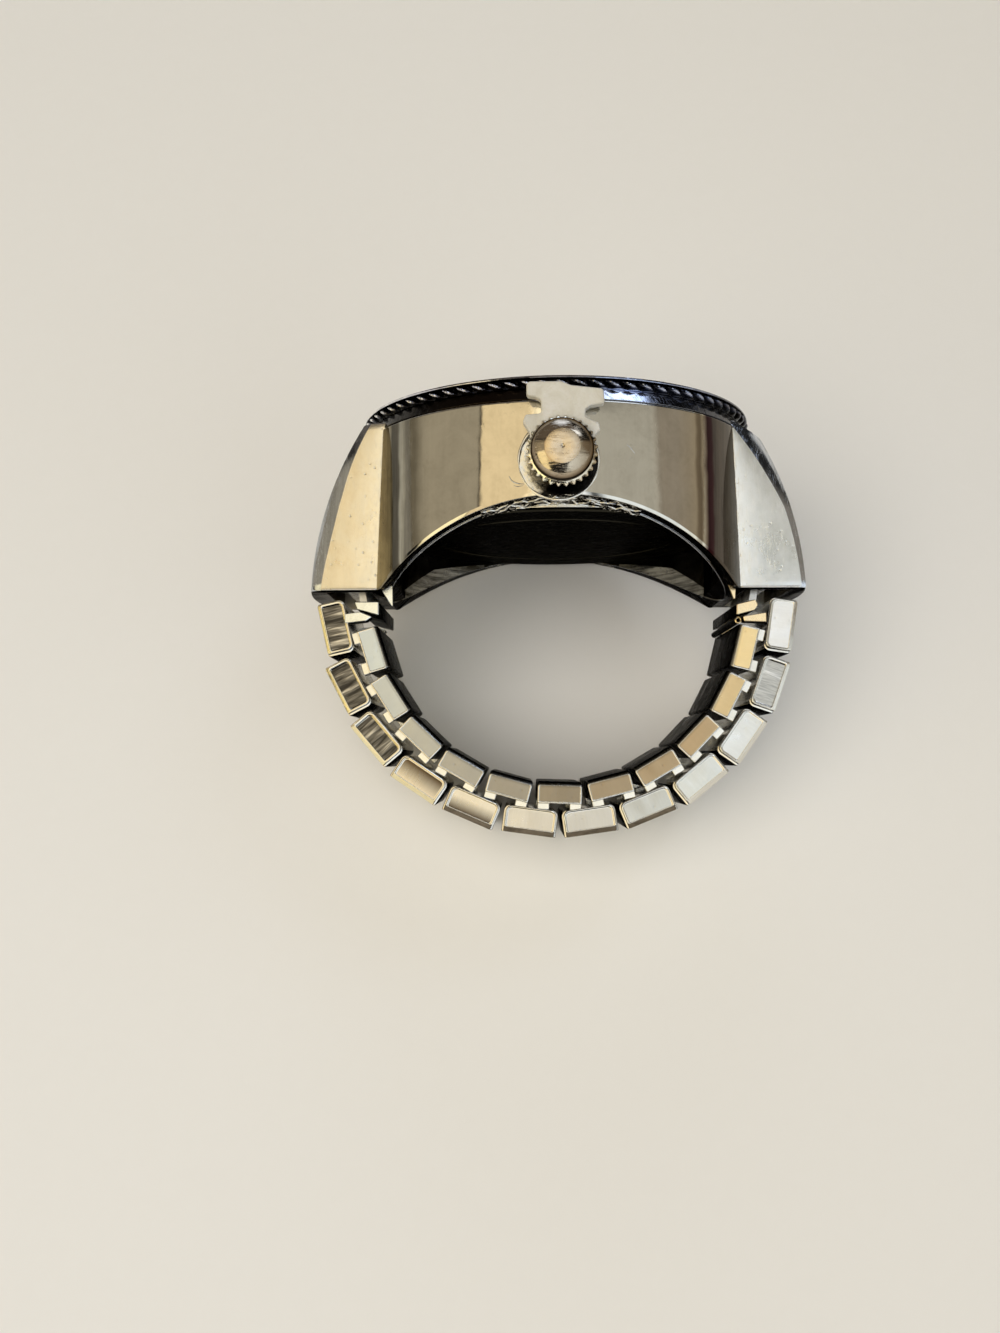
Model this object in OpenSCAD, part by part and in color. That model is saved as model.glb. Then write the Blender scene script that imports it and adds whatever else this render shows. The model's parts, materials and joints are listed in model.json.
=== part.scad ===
// Finger watch: a small round watch on an expansion band, worn as a ring.
// The pieces are drawn in the watch's own frame. x runs from lug to lug, y along
// the finger and away from the crown, z up through the dial, and zero is the
// centre of the band. at_rest() then lays the ring on its side, crown up.

/* [Case] */
// Radius of the round case wall
case_r = 10.5; // [10.4:0.1:10.6]
// Height of the case top edge above the centre of the band
case_top_z = 9.6; // [9.5:0.05:9.7]
// Thickness of the skirt wall below the movement
skirt_t = 1.2; // [0.8:0.1:1.4]
// Height of the top of the finger arch
arch_top_z = 4.95; // [4.7:0.05:5]
// Radius of the finger arch
arch_r = 13.3; // [13:0.1:13.6]
// Height of the ring of metal that holds the movement, at its lower face
holder_low_z = 5; // [4.9:0.05:5.3]
// Radius of the space for the movement
cavity_r = 8.5; // [8.5:0.05:8.7]

/* [Lugs] */
// Height of the flat lower ends of the lugs
lug_low_z = 1.15; // [0.9:0.05:1.2]
// Largest radius of the lugs, at their lower ends
lug_end_r = 13.45; // [13.2:0.05:13.7]
// Radius of the curve down the outside of a lug
lug_curve_r = 17.6; // [17:0.1:18.2]
// Half of the lug's width at the case top edge
lug_top_half_w = 5.2; // [5:0.05:5.4]
// Half of the lug's width at its lower end
lug_low_half_w = 4.35; // [4.3:0.05:4.5]
// Distance of the spring bars from the middle of the ring
spring_bar_x = 11.1; // [11:0.05:11.2]
// Height of the spring bars
spring_bar_z = 2.1; // [2:0.05:2.2]

/* [Bezel and crystal] */
// Radius of the rope edge of the bezel
bezel_r = 10.7; // [10.5:0.05:10.8]
// Radius of the plain band under the rope edge
bezel_band_r = 10.35; // [10.2:0.05:10.4]
// Height of the bezel
bezel_h = 1.13; // [1.1:0.01:1.2]
// Height of the rope edge
rope_h = 0.55; // [0.4:0.05:0.6]
// Radius of the crystal
crystal_r = 8.9; // [8.8:0.05:9]

/* [Crown] */
// Height of the crown's axis
crown_z = 6.8; // [6.75:0.05:6.85]
// Radius over the knurled edge of the crown
crown_r = 1.67; // [1.5:0.01:1.7]
// Radius of the foot of the crown's dome
crown_dome_r = 1.49; // [1.4:0.01:1.5]
// Radius of the flat front of the crown
crown_flat_r = 0.83; // [0.7:0.01:0.9]
// Distance from the case wall to the back of the pulled-out crown
crown_out = 0.85; // [0.8:0.05:0.9]
// Radius of the round seat that the crown goes into
crown_seat_r = 1.9; // [1.8:0.05:1.95]
// Depth of the round seat
crown_seat_depth = 0.4; // [0.3:0.05:0.5]

/* [Crown stopper] */
// Thickness of the plastic stopper
stopper_t = 0.6; // [0.5:0.05:0.6]
// Width of the stopper's grip
stopper_grip_w = 3.7; // [3.4:0.1:3.9]
// Width of the stopper's neck
stopper_neck_w = 2.1; // [1.9:0.1:2.3]
// Width of the stopper's fork
stopper_fork_w = 3.72; // [3.6:0.02:3.9]

/* [Band] */
// Clear radius inside the bottom of the band
band_inner_r = 8.95; // [8.9:0.05:9.1]
// Width of the band along the finger
band_w = 8.3; // [8:0.1:8.4]
// Angle from one link to the next in a row
link_pitch = 15.7; // [15.7:0.1:15.9]
// Number of links in the outer row
outer_links = 12; // [12]
// Length of an inner link round the band
inner_link_l = 2.3; // [2:0.05:2.35]
// Thickness of an inner link
inner_link_t = 1.05; // [0.9:0.05:1.05]
// Length of an outer link round the band
outer_link_l = 2.85; // [2.6:0.05:2.85]
// Thickness of an outer link
outer_link_t = 1.43; // [1.3:0.01:1.5]
// Gap between the two rows of links
row_gap = 0.32; // [0.32:0.01:0.4]
// How much more the ends of the outer row stand out than its middle
outer_spread = 0.69; // [0.6:0.01:0.8]
// How much more the ends of the inner row stand out than its middle
inner_spread = 0.46; // [0.4:0.01:0.5]

/* [Dial and hands] */
// Length of the hour hand from its centre
hour_hand_l = 4; // [3:0.1:5]
// Length of the minute hand from its centre
minute_hand_l = 6; // [5:0.1:6.5]
// Length of the second hand from its centre
second_hand_l = 6.4; // [5:0.1:6.8]

/* [Hidden] */

$fn = 96;
// Overlap that lets a cut run cleanly past a face
past = 0.5;
// Small gap between pieces that lie on each other
gap = 0.02;
// Size that is larger than the whole ring
beyond = 60;

// The curve down the lugs, seen from the side, as an arc of lug_curve_r
lug_curve_z = 0.44;
lug_curve_x = lug_end_r - sqrt(pow(lug_curve_r, 2) - pow(lug_low_z - lug_curve_z, 2));
lug_curve_steps = 10;
// The lugs begin inside the case wall
lug_start_x = 8.4;
// Pocket in the lug's lower end for the spring bar and the band's end hook
pocket_from_x = 9.95;
pocket_to_x = 12.3;
pocket_half_w = 3.7;
pocket_top_z = 3.1;
spring_bar_r = 0.38;
spring_bar_half_l = 4.1;
spring_hole_r = 0.42;
spring_hole_half_l = 4.15;

// The back plate closes the case from below and shows under the top of the arch
back_z = 4.45;
back_t = holder_low_z - 0.05 - back_z;
back_r = case_r - skirt_t - 0.05;

// Heights inside the case, from the back up
movement_r = 7.3;
movement_z = back_z + back_t + gap;
dial_z = 8.65;
dial_t = 0.25;
dial_r = cavity_r - 0.08;
dial_hole_r = 0.45;
marker_t = 0.08;
marker_l = 1.3;
marker_w = 0.34;
marker_mid_r = 6.9;
post_r = 0.25;
post_top_z = 9.66;
hand_bore_r = 0.31;
hour_hand_z = 9.06;
hour_hand_t = 0.14;
minute_hand_z = 9.3;
minute_hand_t = 0.12;
second_hand_z = 9.52;
second_hand_t = 0.09;
// Ten past ten, and thirty seconds; angles run clockwise from twelve
hour_angle = 305;
minute_angle = 60;
second_angle = 180;
// Twelve on the dial lies towards the right lug, because the crown is at three
twelve_turn = -90;

crystal_z = case_top_z + 0.5;
crystal_t = 0.55;
bezel_z = case_top_z + gap;
bezel_inner_r = 8.2;
crystal_seat_z = crystal_z - gap;
crystal_fit = 0.03;
bezel_edge = 0.15;

stem_r = 0.3;
stem_hole_r = 0.34;
stem_in_y = cavity_r - 0.6;
crown_knurl_l = 0.62;
crown_dome_l = 0.63;
crown_back_y = -case_r - crown_out;
stopper_back_gap = 0.15;
stopper_grip_z = [9.16, 10.25];
stopper_fork_z = [5.9, 8.7];
stopper_slot = 2 * stem_r + 0.1;

// Radii of the band at its lowest point, from the finger outwards
inner_row_r = band_inner_r + inner_link_t / 2;
outer_face_r = band_inner_r + inner_link_t + row_gap;
outer_row_r = outer_face_r + outer_link_t / 2;
link_bevel_r = 0.32;
link_bevel_w = 0.4;
link_corner = 0.28;
clip_l = 0.62;
clip_t = 0.2;
clip_w = 0.9;
clip_from_edge = 0.1;
clip_offset = 0.84;

// Block of the end hook, in line with the inner row, and its neck
hook_block_x = [9.42, 10.6];
hook_block_z = [-0.3, 0.66];
hook_neck_x = [10.2, 10.86];
hook_neck_low_z = 0.36;
hook_eye_r = 0.72;
hook_eye_hole_r = 0.42;
hook_half_w = 3.6;

// Rest on the side: the far edge of the arch and the far edge of the lowest
// links touch the surface together.
half_pitch = link_pitch / 2;
edge_r = outer_face_r + outer_link_t - link_bevel_r;
low_edge_z = edge_r * cos(half_pitch) + outer_link_l / 2 * sin(half_pitch);
low_face_z = (edge_r + link_bevel_r) * cos(half_pitch) + outer_link_l / 2 * sin(half_pitch);
rest_tilt = atan((case_r - band_w / 2) / (arch_top_z + low_edge_z));
rest_z = case_r * cos(rest_tilt) - arch_top_z * sin(rest_tilt);
bezel_top_z = bezel_z + bezel_h;
rest_y_max = (bezel_r - bezel_edge) * sin(rest_tilt) + bezel_top_z * cos(rest_tilt);
rest_y_min = -(band_w / 2 - link_bevel_w) * sin(rest_tilt) - low_face_z * cos(rest_tilt);
rest_y = -(rest_y_max + rest_y_min) / 2;

function two_digits(i) = i < 10 ? str("0", i) : str(i);
function spread_r(base, spread, a) = base + spread * pow(sin(a), 2);
function outer_angle(i) = (i - (outer_links + 1) / 2) * link_pitch;
function inner_angle(i) = (i - outer_links / 2) * link_pitch;

module at_rest() {
    translate([0, rest_y, rest_z])
        rotate([rest_tilt - 90, 0, 0])
            children();
}

// Turns a shape that is drawn along z to lie along y, away from the crown
module along_finger(y = 0, z = 0, x = 0) {
    translate([x, y, z])
        rotate([-90, 0, 0])
            children();
}

// Puts a link on the band, a degrees round from the lowest point
module on_band(a, r) {
    translate([r * sin(a), 0, -r * cos(a)])
        rotate([0, -a, 0])
            children();
}

module both_lugs() {
    children();
    mirror([1, 0, 0])
        children();
}

// Case

function lug_curve_r_at(z) =
    lug_curve_x + sqrt(pow(lug_curve_r, 2) - pow(z - lug_curve_z, 2));

module lug_round() {
    step_h = (case_top_z - lug_low_z) / lug_curve_steps;
    rotate_extrude()
        polygon(concat(
            [[0, case_top_z], [0, lug_low_z]],
            [for (i = [0:lug_curve_steps])
                let (z = lug_low_z + i * step_h)
                [lug_curve_r_at(z), z]]
        ));
}

// Tapered slab that the lugs are cut from, narrower at the lower end
module lug_slab() {
    slab_l = beyond / 2 - lug_start_x;
    translate([lug_start_x, 0, 0])
        rotate([90, 0, 90])
            linear_extrude(slab_l)
                polygon([
                    [-lug_low_half_w, lug_low_z],
                    [lug_low_half_w, lug_low_z],
                    [lug_top_half_w, case_top_z],
                    [-lug_top_half_w, case_top_z]
                ]);
}

module lug_pocket() {
    translate([pocket_from_x, -pocket_half_w, lug_low_z - past])
        cube([pocket_to_x - pocket_from_x, 2 * pocket_half_w, pocket_top_z - lug_low_z + past]);
    along_finger(-spring_hole_half_l, spring_bar_z, spring_bar_x)
        cylinder(r = spring_hole_r, h = 2 * spring_hole_half_l);
}

module case_outside() {
    translate([0, 0, lug_low_z])
        cylinder(r = case_r, h = case_top_z - lug_low_z);
    both_lugs()
        intersection() {
            lug_round();
            lug_slab();
        }
}

module finger_arch() {
    along_finger(-beyond / 2, arch_top_z - arch_r)
        cylinder(r = arch_r, h = beyond, $fn = 128);
}

module crown_seat() {
    along_finger(-case_r - past, crown_z)
        cylinder(r = crown_seat_r, h = past + crown_seat_depth);
    along_finger(-case_r - past, crown_z)
        cylinder(r = stem_hole_r, h = case_r + past - cavity_r / 2);
}

module case() {
    color([0.72, 0.69, 0.62])
        at_rest()
            difference() {
                case_outside();
                finger_arch();
                translate([0, 0, -past])
                    cylinder(r = case_r - skirt_t, h = holder_low_z + past);
                cylinder(r = cavity_r, h = case_top_z + past);
                crown_seat();
                both_lugs()
                    lug_pocket();
            }
}

module case_back() {
    color([0.75, 0.75, 0.73])
        at_rest()
            translate([0, 0, back_z])
                cylinder(r = back_r, h = back_t);
}

module movement() {
    color([0.6, 0.6, 0.58])
        at_rest() {
            translate([0, 0, movement_z])
                cylinder(r = movement_r, h = dial_z - gap - movement_z);
            translate([0, 0, movement_z])
                cylinder(r = post_r, h = post_top_z - movement_z);
        }
}

// Dial and hands

module on_dial(angle, z) {
    translate([0, 0, z])
        rotate([0, 0, twelve_turn - angle])
            children();
}

module dial() {
    color([0.95, 0.95, 0.92])
        at_rest()
            translate([0, 0, dial_z])
                difference() {
                    cylinder(r = dial_r, h = dial_t);
                    translate([0, 0, -past])
                        cylinder(r = dial_hole_r, h = dial_t + 2 * past);
                }
}

module hour_markers() {
    color([0.1, 0.1, 0.12])
        at_rest()
            for (hour = [1:12])
                on_dial(hour * 30, dial_z + dial_t)
                    translate([0, marker_mid_r, marker_t / 2])
                        cube([marker_w, marker_l, marker_t], center = true);
}

// A tapered hand along +y, with a round hub and a bore for the post
module hand(l, tail, root_w, tip_w, hub_r, t) {
    difference() {
        union() {
            linear_extrude(t)
                polygon([
                    [-root_w / 2, -tail],
                    [root_w / 2, -tail],
                    [tip_w / 2, l],
                    [-tip_w / 2, l]
                ]);
            cylinder(r = hub_r, h = t);
        }
        translate([0, 0, -past])
            cylinder(r = hand_bore_r, h = t + 2 * past);
    }
}

module hour_hand() {
    color([0.1, 0.1, 0.12])
        at_rest()
            on_dial(hour_angle, hour_hand_z)
                hand(hour_hand_l, 1.1, 0.7, 0.3, 0.75, hour_hand_t);
}

module minute_hand() {
    color([0.1, 0.1, 0.12])
        at_rest()
            on_dial(minute_angle, minute_hand_z)
                hand(minute_hand_l, 1.1, 0.6, 0.24, 0.65, minute_hand_t);
}

module second_hand() {
    color([0.7, 0.1, 0.1])
        at_rest()
            on_dial(second_angle, second_hand_z)
                hand(second_hand_l, 1.8, 0.22, 0.12, 0.5, second_hand_t);
}

// Crystal and bezel

module crystal() {
    color([0.85, 0.9, 0.92, 0.4])
        at_rest()
            translate([0, 0, crystal_z])
                cylinder(r = crystal_r, h = crystal_t);
}

module bezel() {
    rope_z = bezel_top_z - rope_h;
    color([0.6, 0.6, 0.62])
        at_rest()
            rotate_extrude()
                polygon([
                    [bezel_inner_r, bezel_z],
                    [bezel_band_r, bezel_z],
                    [bezel_band_r, rope_z],
                    [bezel_r, rope_z + bezel_edge],
                    [bezel_r, bezel_top_z - bezel_edge],
                    [bezel_r - bezel_edge, bezel_top_z],
                    [crystal_r + crystal_fit + bezel_edge, bezel_top_z],
                    [crystal_r + crystal_fit, bezel_top_z - bezel_edge],
                    [crystal_r + crystal_fit, crystal_seat_z],
                    [bezel_inner_r, crystal_seat_z]
                ]);
}

// Crown and its stopper

module crown() {
    color([0.8, 0.74, 0.62])
        at_rest()
            along_finger(crown_back_y - crown_knurl_l - crown_dome_l, crown_z)
                rotate_extrude()
                    polygon([
                        [0, 0],
                        [crown_flat_r, 0],
                        [crown_flat_r + 0.36, 0.16],
                        [crown_dome_r - 0.09, 0.37],
                        [crown_dome_r, crown_dome_l],
                        [crown_r, crown_dome_l],
                        [crown_r, crown_dome_l + crown_knurl_l],
                        [stem_r, crown_dome_l + crown_knurl_l],
                        [stem_r, -crown_back_y + crown_knurl_l + crown_dome_l - stem_in_y],
                        [0, -crown_back_y + crown_knurl_l + crown_dome_l - stem_in_y]
                    ]);
}

// Outline of the stopper: a grip bar on a neck, over a fork that clasps the stem
module stopper_outline() {
    neck_end_z = stopper_fork_z[1] - 0.3;
    grip_h = stopper_grip_z[1] - stopper_grip_z[0];
    difference() {
        union() {
            translate([-stopper_grip_w / 2, stopper_grip_z[0]])
                square([stopper_grip_w, grip_h]);
            translate([-stopper_neck_w / 2, neck_end_z])
                square([stopper_neck_w, stopper_grip_z[0] - neck_end_z + grip_h / 2]);
            translate([-stopper_fork_w / 2, stopper_fork_z[0]])
                square([stopper_fork_w, stopper_fork_z[1] - stopper_fork_z[0]]);
        }
        translate([0, crown_z])
            circle(r = stopper_slot / 2);
        translate([-stopper_slot / 2, stopper_fork_z[0] - past])
            square([stopper_slot, crown_z - stopper_fork_z[0] + past]);
    }
}

module crown_stopper() {
    color([0.86, 0.83, 0.76])
        at_rest()
            translate([0, -case_r - stopper_back_gap, 0])
                rotate([90, 0, 0])
                    linear_extrude(stopper_t)
                        stopper_outline();
}

// Spring bars and end hooks of the band

module spring_bar() {
    color([0.6, 0.6, 0.6])
        at_rest()
            along_finger(-spring_bar_half_l, spring_bar_z, spring_bar_x)
                cylinder(r = spring_bar_r, h = 2 * spring_bar_half_l);
}

module spring_bar_right() {
    spring_bar();
}

module spring_bar_left() {
    mirror([1, 0, 0])
        spring_bar();
}

module hook_box(xs, zs, half_w) {
    translate([xs[0], -half_w, zs[0]])
        cube([xs[1] - xs[0], 2 * half_w, zs[1] - zs[0]]);
}

module end_hook() {
    color([0.85, 0.8, 0.66])
        at_rest()
            difference() {
                union() {
                    hook_box(hook_block_x, hook_block_z, band_w / 2);
                    hook_box(hook_neck_x, [hook_neck_low_z, spring_bar_z], hook_half_w);
                    along_finger(-hook_half_w, spring_bar_z, spring_bar_x)
                        cylinder(r = hook_eye_r, h = 2 * hook_half_w);
                }
                along_finger(-beyond / 2, spring_bar_z, spring_bar_x)
                    cylinder(r = hook_eye_hole_r, h = beyond);
            }
}

module end_hook_right() {
    end_hook();
}

module end_hook_left() {
    mirror([1, 0, 0])
        end_hook();
}

// Band links

// Outer link, drawn with z away from the finger as -z and zero at its mid thickness
module outer_link(i) {
    a = outer_angle(i);
    half_t = outer_link_t / 2;
    half_l = outer_link_l / 2;
    half_w = band_w / 2;
    color([0.82, 0.8, 0.74])
        at_rest()
            on_band(a, spread_r(outer_row_r, outer_spread, a))
                intersection() {
                    translate([-half_l, 0, 0])
                        rotate([90, 0, 90])
                            linear_extrude(outer_link_l)
                                polygon([
                                    [-half_w, half_t],
                                    [half_w, half_t],
                                    [half_w, link_bevel_r - half_t],
                                    [half_w - link_bevel_w, -half_t],
                                    [link_bevel_w - half_w, -half_t],
                                    [-half_w, link_bevel_r - half_t]
                                ]);
                    translate([0, half_w, 0])
                        rotate([90, 0, 0])
                            linear_extrude(band_w)
                                polygon([
                                    [-half_l, -half_t],
                                    [half_l, -half_t],
                                    [half_l, half_t - link_corner],
                                    [half_l - link_corner, half_t],
                                    [link_corner - half_l, half_t],
                                    [-half_l, half_t - link_corner]
                                ]);
                }
}

module inner_link(i) {
    a = inner_angle(i);
    color([0.74, 0.7, 0.62])
        at_rest()
            on_band(a, spread_r(inner_row_r, inner_spread, a))
                cube([inner_link_l, band_w, inner_link_t], center = true);
}

// Two clips on each inner link, at one edge of the band
module link_clips(side) {
    clip_y = side * (band_w / 2 - clip_from_edge - clip_w / 2);
    color([0.86, 0.84, 0.78])
        at_rest()
            for (i = [1:outer_links - 1], end = [-1, 1]) {
                a = inner_angle(i);
                on_band(a, spread_r(inner_row_r, inner_spread, a))
                    translate([end * clip_offset, clip_y, -inner_link_t / 2 - gap - clip_t / 2])
                        cube([clip_l, clip_w, clip_t], center = true);
            }
}

module link_clips_near() {
    link_clips(-1);
}

module link_clips_far() {
    link_clips(1);
}

case();
case_back();
movement();
dial();
hour_markers();
hour_hand();
minute_hand();
second_hand();
crystal();
bezel();
crown();
crown_stopper();
spring_bar_left();
spring_bar_right();
end_hook_left();
end_hook_right();
link_clips_near();
link_clips_far();
for (i = [1:12])
    outer_link(i);
for (i = [1:11])
    inner_link(i);
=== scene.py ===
"""A small round watch on an expansion band, worn as a finger ring, lying on its side.

Pieces are drawn in millimetres in the watch's own frame: x from lug to lug, y along the
finger and away from the crown, z up through the dial, zero at the centre of the band.
The frame's mount and the axis of the hands say where that lies.
"""

import json
import math

import bmesh
import bpy
import numpy as np
from mathutils import Euler, Matrix, Vector


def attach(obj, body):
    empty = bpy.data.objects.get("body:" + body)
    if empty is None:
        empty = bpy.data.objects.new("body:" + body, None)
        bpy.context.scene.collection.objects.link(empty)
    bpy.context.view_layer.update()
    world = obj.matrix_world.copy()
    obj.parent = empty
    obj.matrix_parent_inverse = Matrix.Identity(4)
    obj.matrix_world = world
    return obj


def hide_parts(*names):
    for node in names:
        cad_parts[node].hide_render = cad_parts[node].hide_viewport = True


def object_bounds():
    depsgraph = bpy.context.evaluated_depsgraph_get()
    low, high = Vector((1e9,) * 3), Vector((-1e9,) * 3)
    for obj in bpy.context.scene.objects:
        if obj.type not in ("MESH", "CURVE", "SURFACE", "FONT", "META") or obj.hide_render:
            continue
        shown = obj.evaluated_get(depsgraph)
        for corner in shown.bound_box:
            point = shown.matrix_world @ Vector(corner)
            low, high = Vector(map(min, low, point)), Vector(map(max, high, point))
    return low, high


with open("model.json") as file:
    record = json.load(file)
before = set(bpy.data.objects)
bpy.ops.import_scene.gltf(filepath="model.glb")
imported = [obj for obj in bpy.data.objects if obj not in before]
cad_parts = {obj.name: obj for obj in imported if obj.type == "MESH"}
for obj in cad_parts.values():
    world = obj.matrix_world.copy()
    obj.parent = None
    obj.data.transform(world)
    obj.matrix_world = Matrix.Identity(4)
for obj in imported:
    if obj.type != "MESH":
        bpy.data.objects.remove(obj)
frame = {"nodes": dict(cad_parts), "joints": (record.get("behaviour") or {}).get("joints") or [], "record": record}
CAD_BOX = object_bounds()
MM = 0.001

# The camera, in the watch's frame: where it stands and how it turns from looking along +y
CAMERA_AT = (-2.191, -71.412, -7.670)
CAMERA_TURN = (0.0712, 0.0050, 0.0136)
# Its lens on a frame whose long side is FILM_WIDTH
FILM_WIDTH = 36.0
LENS = 34.73


# The watch's frame

def watch_matrix():
    """Turns a point in the watch's frame, in metres, into one in the row frame."""
    finger = next(m for m in frame["record"]["mounts"] if m["name"] == "finger")
    hands = next(j for j in frame["joints"] if j["name"] == "second_turn")
    y_axis = -Vector(finger["axis"])
    z_axis = Vector(hands["axis"])
    x_axis = y_axis.cross(z_axis)
    turn = Matrix((x_axis, y_axis, z_axis)).transposed().to_4x4()
    return Matrix.Translation(Vector(finger["pos_m"])) @ turn


WATCH = watch_matrix()
WATCH_TURN = np.array(WATCH.to_3x3())
WATCH_AT = np.array(WATCH.translation)


def to_row(points):
    """Watch frame in mm to row frame in metres."""
    return np.asarray(points, float) * MM @ WATCH_TURN.T + WATCH_AT


def in_watch(points):
    """Row frame in metres to watch frame in mm."""
    return (np.asarray(points, float) - WATCH_AT) @ WATCH_TURN / MM


def node_points(node):
    """The corners of a CAD node, in the watch's frame, in mm."""
    return in_watch([v.co for v in frame["nodes"][node].data.vertices])


def node_box(node):
    points = node_points(node)
    return points.min(0), points.max(0)


# Sizes taken from the frame

CASE_LOW, CASE_HIGH = node_box("case")
BEZEL_LOW, BEZEL_HIGH = node_box("bezel")
CROWN_LOW, CROWN_HIGH = node_box("crown")
STOPPER_LOW, STOPPER_HIGH = node_box("crown_stopper")
BACK_LOW, BACK_HIGH = node_box("case_back")
DIAL_LOW, DIAL_HIGH = node_box("dial")
CRYSTAL_LOW, CRYSTAL_HIGH = node_box("crystal")

CASE_R = -CASE_LOW[1]
CASE_TOP = CASE_HIGH[2]
LUG_LOW = CASE_LOW[2]
LUG_END = CASE_HIGH[0]
CROWN_Z = (CROWN_LOW[2] + CROWN_HIGH[2]) / 2
CROWN_R = CROWN_HIGH[0]
CROWN_FRONT = CROWN_LOW[1]
CRYSTAL_R = CRYSTAL_HIGH[0]


# Outlines and meshes

def turns(count):
    """Angles evenly round a circle."""
    return [2 * math.pi * i / count for i in range(count)]


def arc_corner(before, corner, after, radius, steps):
    """Points of an arc that rounds off a corner."""
    corner = np.array(corner, float)
    to_before = np.array(before, float) - corner
    to_after = np.array(after, float) - corner
    to_before /= np.linalg.norm(to_before)
    to_after /= np.linalg.norm(to_after)
    half = math.acos(max(-1.0, min(1.0, float(to_before @ to_after)))) / 2
    middle = to_before + to_after
    centre = corner + middle / np.linalg.norm(middle) * radius / math.sin(half)
    reach = radius / math.tan(half)
    start = corner + to_before * reach - centre
    end = corner + to_after * reach - centre
    points = []
    for i in range(steps + 1):
        spoke = start * (1 - i / steps) + end * (i / steps)
        points.append(centre + spoke * radius / np.linalg.norm(spoke))
    return points


def rounded(corners, steps):
    """Closed outline through corners (x, y, radius), each rounded off."""
    out = []
    for i, (x, y, radius) in enumerate(corners):
        before = corners[i - 1][:2]
        after = corners[(i + 1) % len(corners)][:2]
        out += arc_corner(before, (x, y), after, radius, steps)
    return np.array(out)


def shrunk(outline, inset):
    """A closed outline moved inwards by inset, for small insets."""
    outline = np.asarray(outline, float)
    ahead = np.roll(outline, -1, 0) - outline
    behind = outline - np.roll(outline, 1, 0)
    along = ahead / (np.linalg.norm(ahead, axis=1)[:, None] + 1e-9)
    along += behind / (np.linalg.norm(behind, axis=1)[:, None] + 1e-9)
    along /= np.linalg.norm(along, axis=1)[:, None] + 1e-9
    area = np.sum(outline[:, 0] * np.roll(outline[:, 1], -1) - np.roll(outline[:, 0], -1) * outline[:, 1])
    inward = np.stack([-along[:, 1], along[:, 0]], 1) * (1 if area > 0 else -1)
    return outline + inward * inset


def level(outline, z):
    """A ring at height z from an outline of x and y."""
    return [(x, y, z) for x, y in outline]


def along_y(outline, stations, side=1):
    """Rings from an outline of x and z, at stations of (y, inset). side -1 turns x over."""
    return [[(side * x, y, z) for x, z in shrunk(outline, inset)] for y, inset in stations]


def bar_outline(half_l, low, high, low_r, high_r, steps):
    """Rounded rectangle from low to high, with one radius at its low corners and one at its high ones."""
    corners = [(-half_l, low, low_r), (half_l, low, low_r), (half_l, high, high_r), (-half_l, high, high_r)]
    return rounded(corners, steps)


class Shape:
    """Collects the points and faces of one piece, with grain coordinates for its materials."""

    def __init__(self):
        self.points = []
        self.grain = []
        self.faces = []
        self.tint = (1.0, 1.0, 1.0)

    def add(self, points, faces, grain=None):
        start = len(self.points)
        self.points += [tuple(p) for p in points]
        self.grain += [tuple(p) for p in (points if grain is None else grain)]
        self.faces += [tuple(start + i for i in face) for face in faces]

    def loft(self, rings, wrap=False, place=None):
        """Joins closed rings of equal length. Grain coordinates are those before place."""
        rings = np.asarray(rings, float)
        count, size = rings.shape[:2]
        faces = []
        for i in range(count if wrap else count - 1):
            low, high = i * size, (i + 1) % count * size
            for j in range(size):
                k = (j + 1) % size
                faces.append((low + j, low + k, high + k, high + j))
        if not wrap:
            faces.append(tuple(range(size)))
            faces.append(tuple((count - 1) * size + j for j in range(size)))
        flat = rings.reshape(-1, 3)
        self.add(flat if place is None else place(flat), faces, flat)
        return self

    def lathe(self, profile, steps, place=None, radius_at=None):
        """Turns a closed profile of (r, z) round z. radius_at changes r with the turn."""
        profile = np.asarray(profile, float)
        rings = []
        for a in turns(steps):
            r = profile[:, 0] if radius_at is None else radius_at(a, profile)
            rings.append(np.stack([r * math.cos(a), r * math.sin(a), profile[:, 1]], 1))
        return self.loft(rings, wrap=True, place=place)


def set_vectors(mesh, name, values):
    """Writes one vector for each vertex, in place of those it may have under that name."""
    found = mesh.attributes.get(name)
    if found:
        mesh.attributes.remove(found)
    attribute = mesh.attributes.new(name, "FLOAT_VECTOR", "POINT")
    attribute.data.foreach_set("vector", np.asarray(values, np.float32).ravel())


# Corners nearer than this, in metres, become one
MERGE = 1e-8


def finish_mesh(shape, name, sharp_deg):
    """A shape's mesh in the row frame, with its attributes and its sharp edges."""
    mesh = bpy.data.meshes.new(name)
    mesh.from_pydata(to_row(shape.points).tolist(), [], shape.faces)
    set_vectors(mesh, "grain", shape.grain)
    set_vectors(mesh, "tint", [shape.tint] * len(shape.points))
    work = bmesh.new()
    work.from_mesh(mesh)
    bmesh.ops.remove_doubles(work, verts=work.verts, dist=MERGE)
    bmesh.ops.recalc_face_normals(work, faces=work.faces)
    work.to_mesh(mesh)
    work.free()
    shade(mesh, sharp_deg)
    keep_ends_flat(mesh)
    return mesh


def shade(mesh, sharp_deg):
    mesh.shade_smooth()
    mesh.set_sharp_from_angle(angle=math.radians(sharp_deg))


def keep_ends_flat(mesh):
    """Sharp edges round every face of more than four sides, so that flat ends shade as flat."""
    sharp = mesh.attributes.get("sharp_edge") or mesh.attributes.new("sharp_edge", "BOOLEAN", "EDGE")
    edge_of_corner = np.empty(len(mesh.loops), np.int32)
    mesh.loops.foreach_get("edge_index", edge_of_corner)
    for face in mesh.polygons:
        if face.loop_total > 4:
            for i in edge_of_corner[face.loop_start:face.loop_start + face.loop_total]:
                sharp.data[i].value = True


def in_scene(name, data):
    """A new object of the scene."""
    thing = bpy.data.objects.new(name, data)
    bpy.context.scene.collection.objects.link(thing)
    return thing


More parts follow.
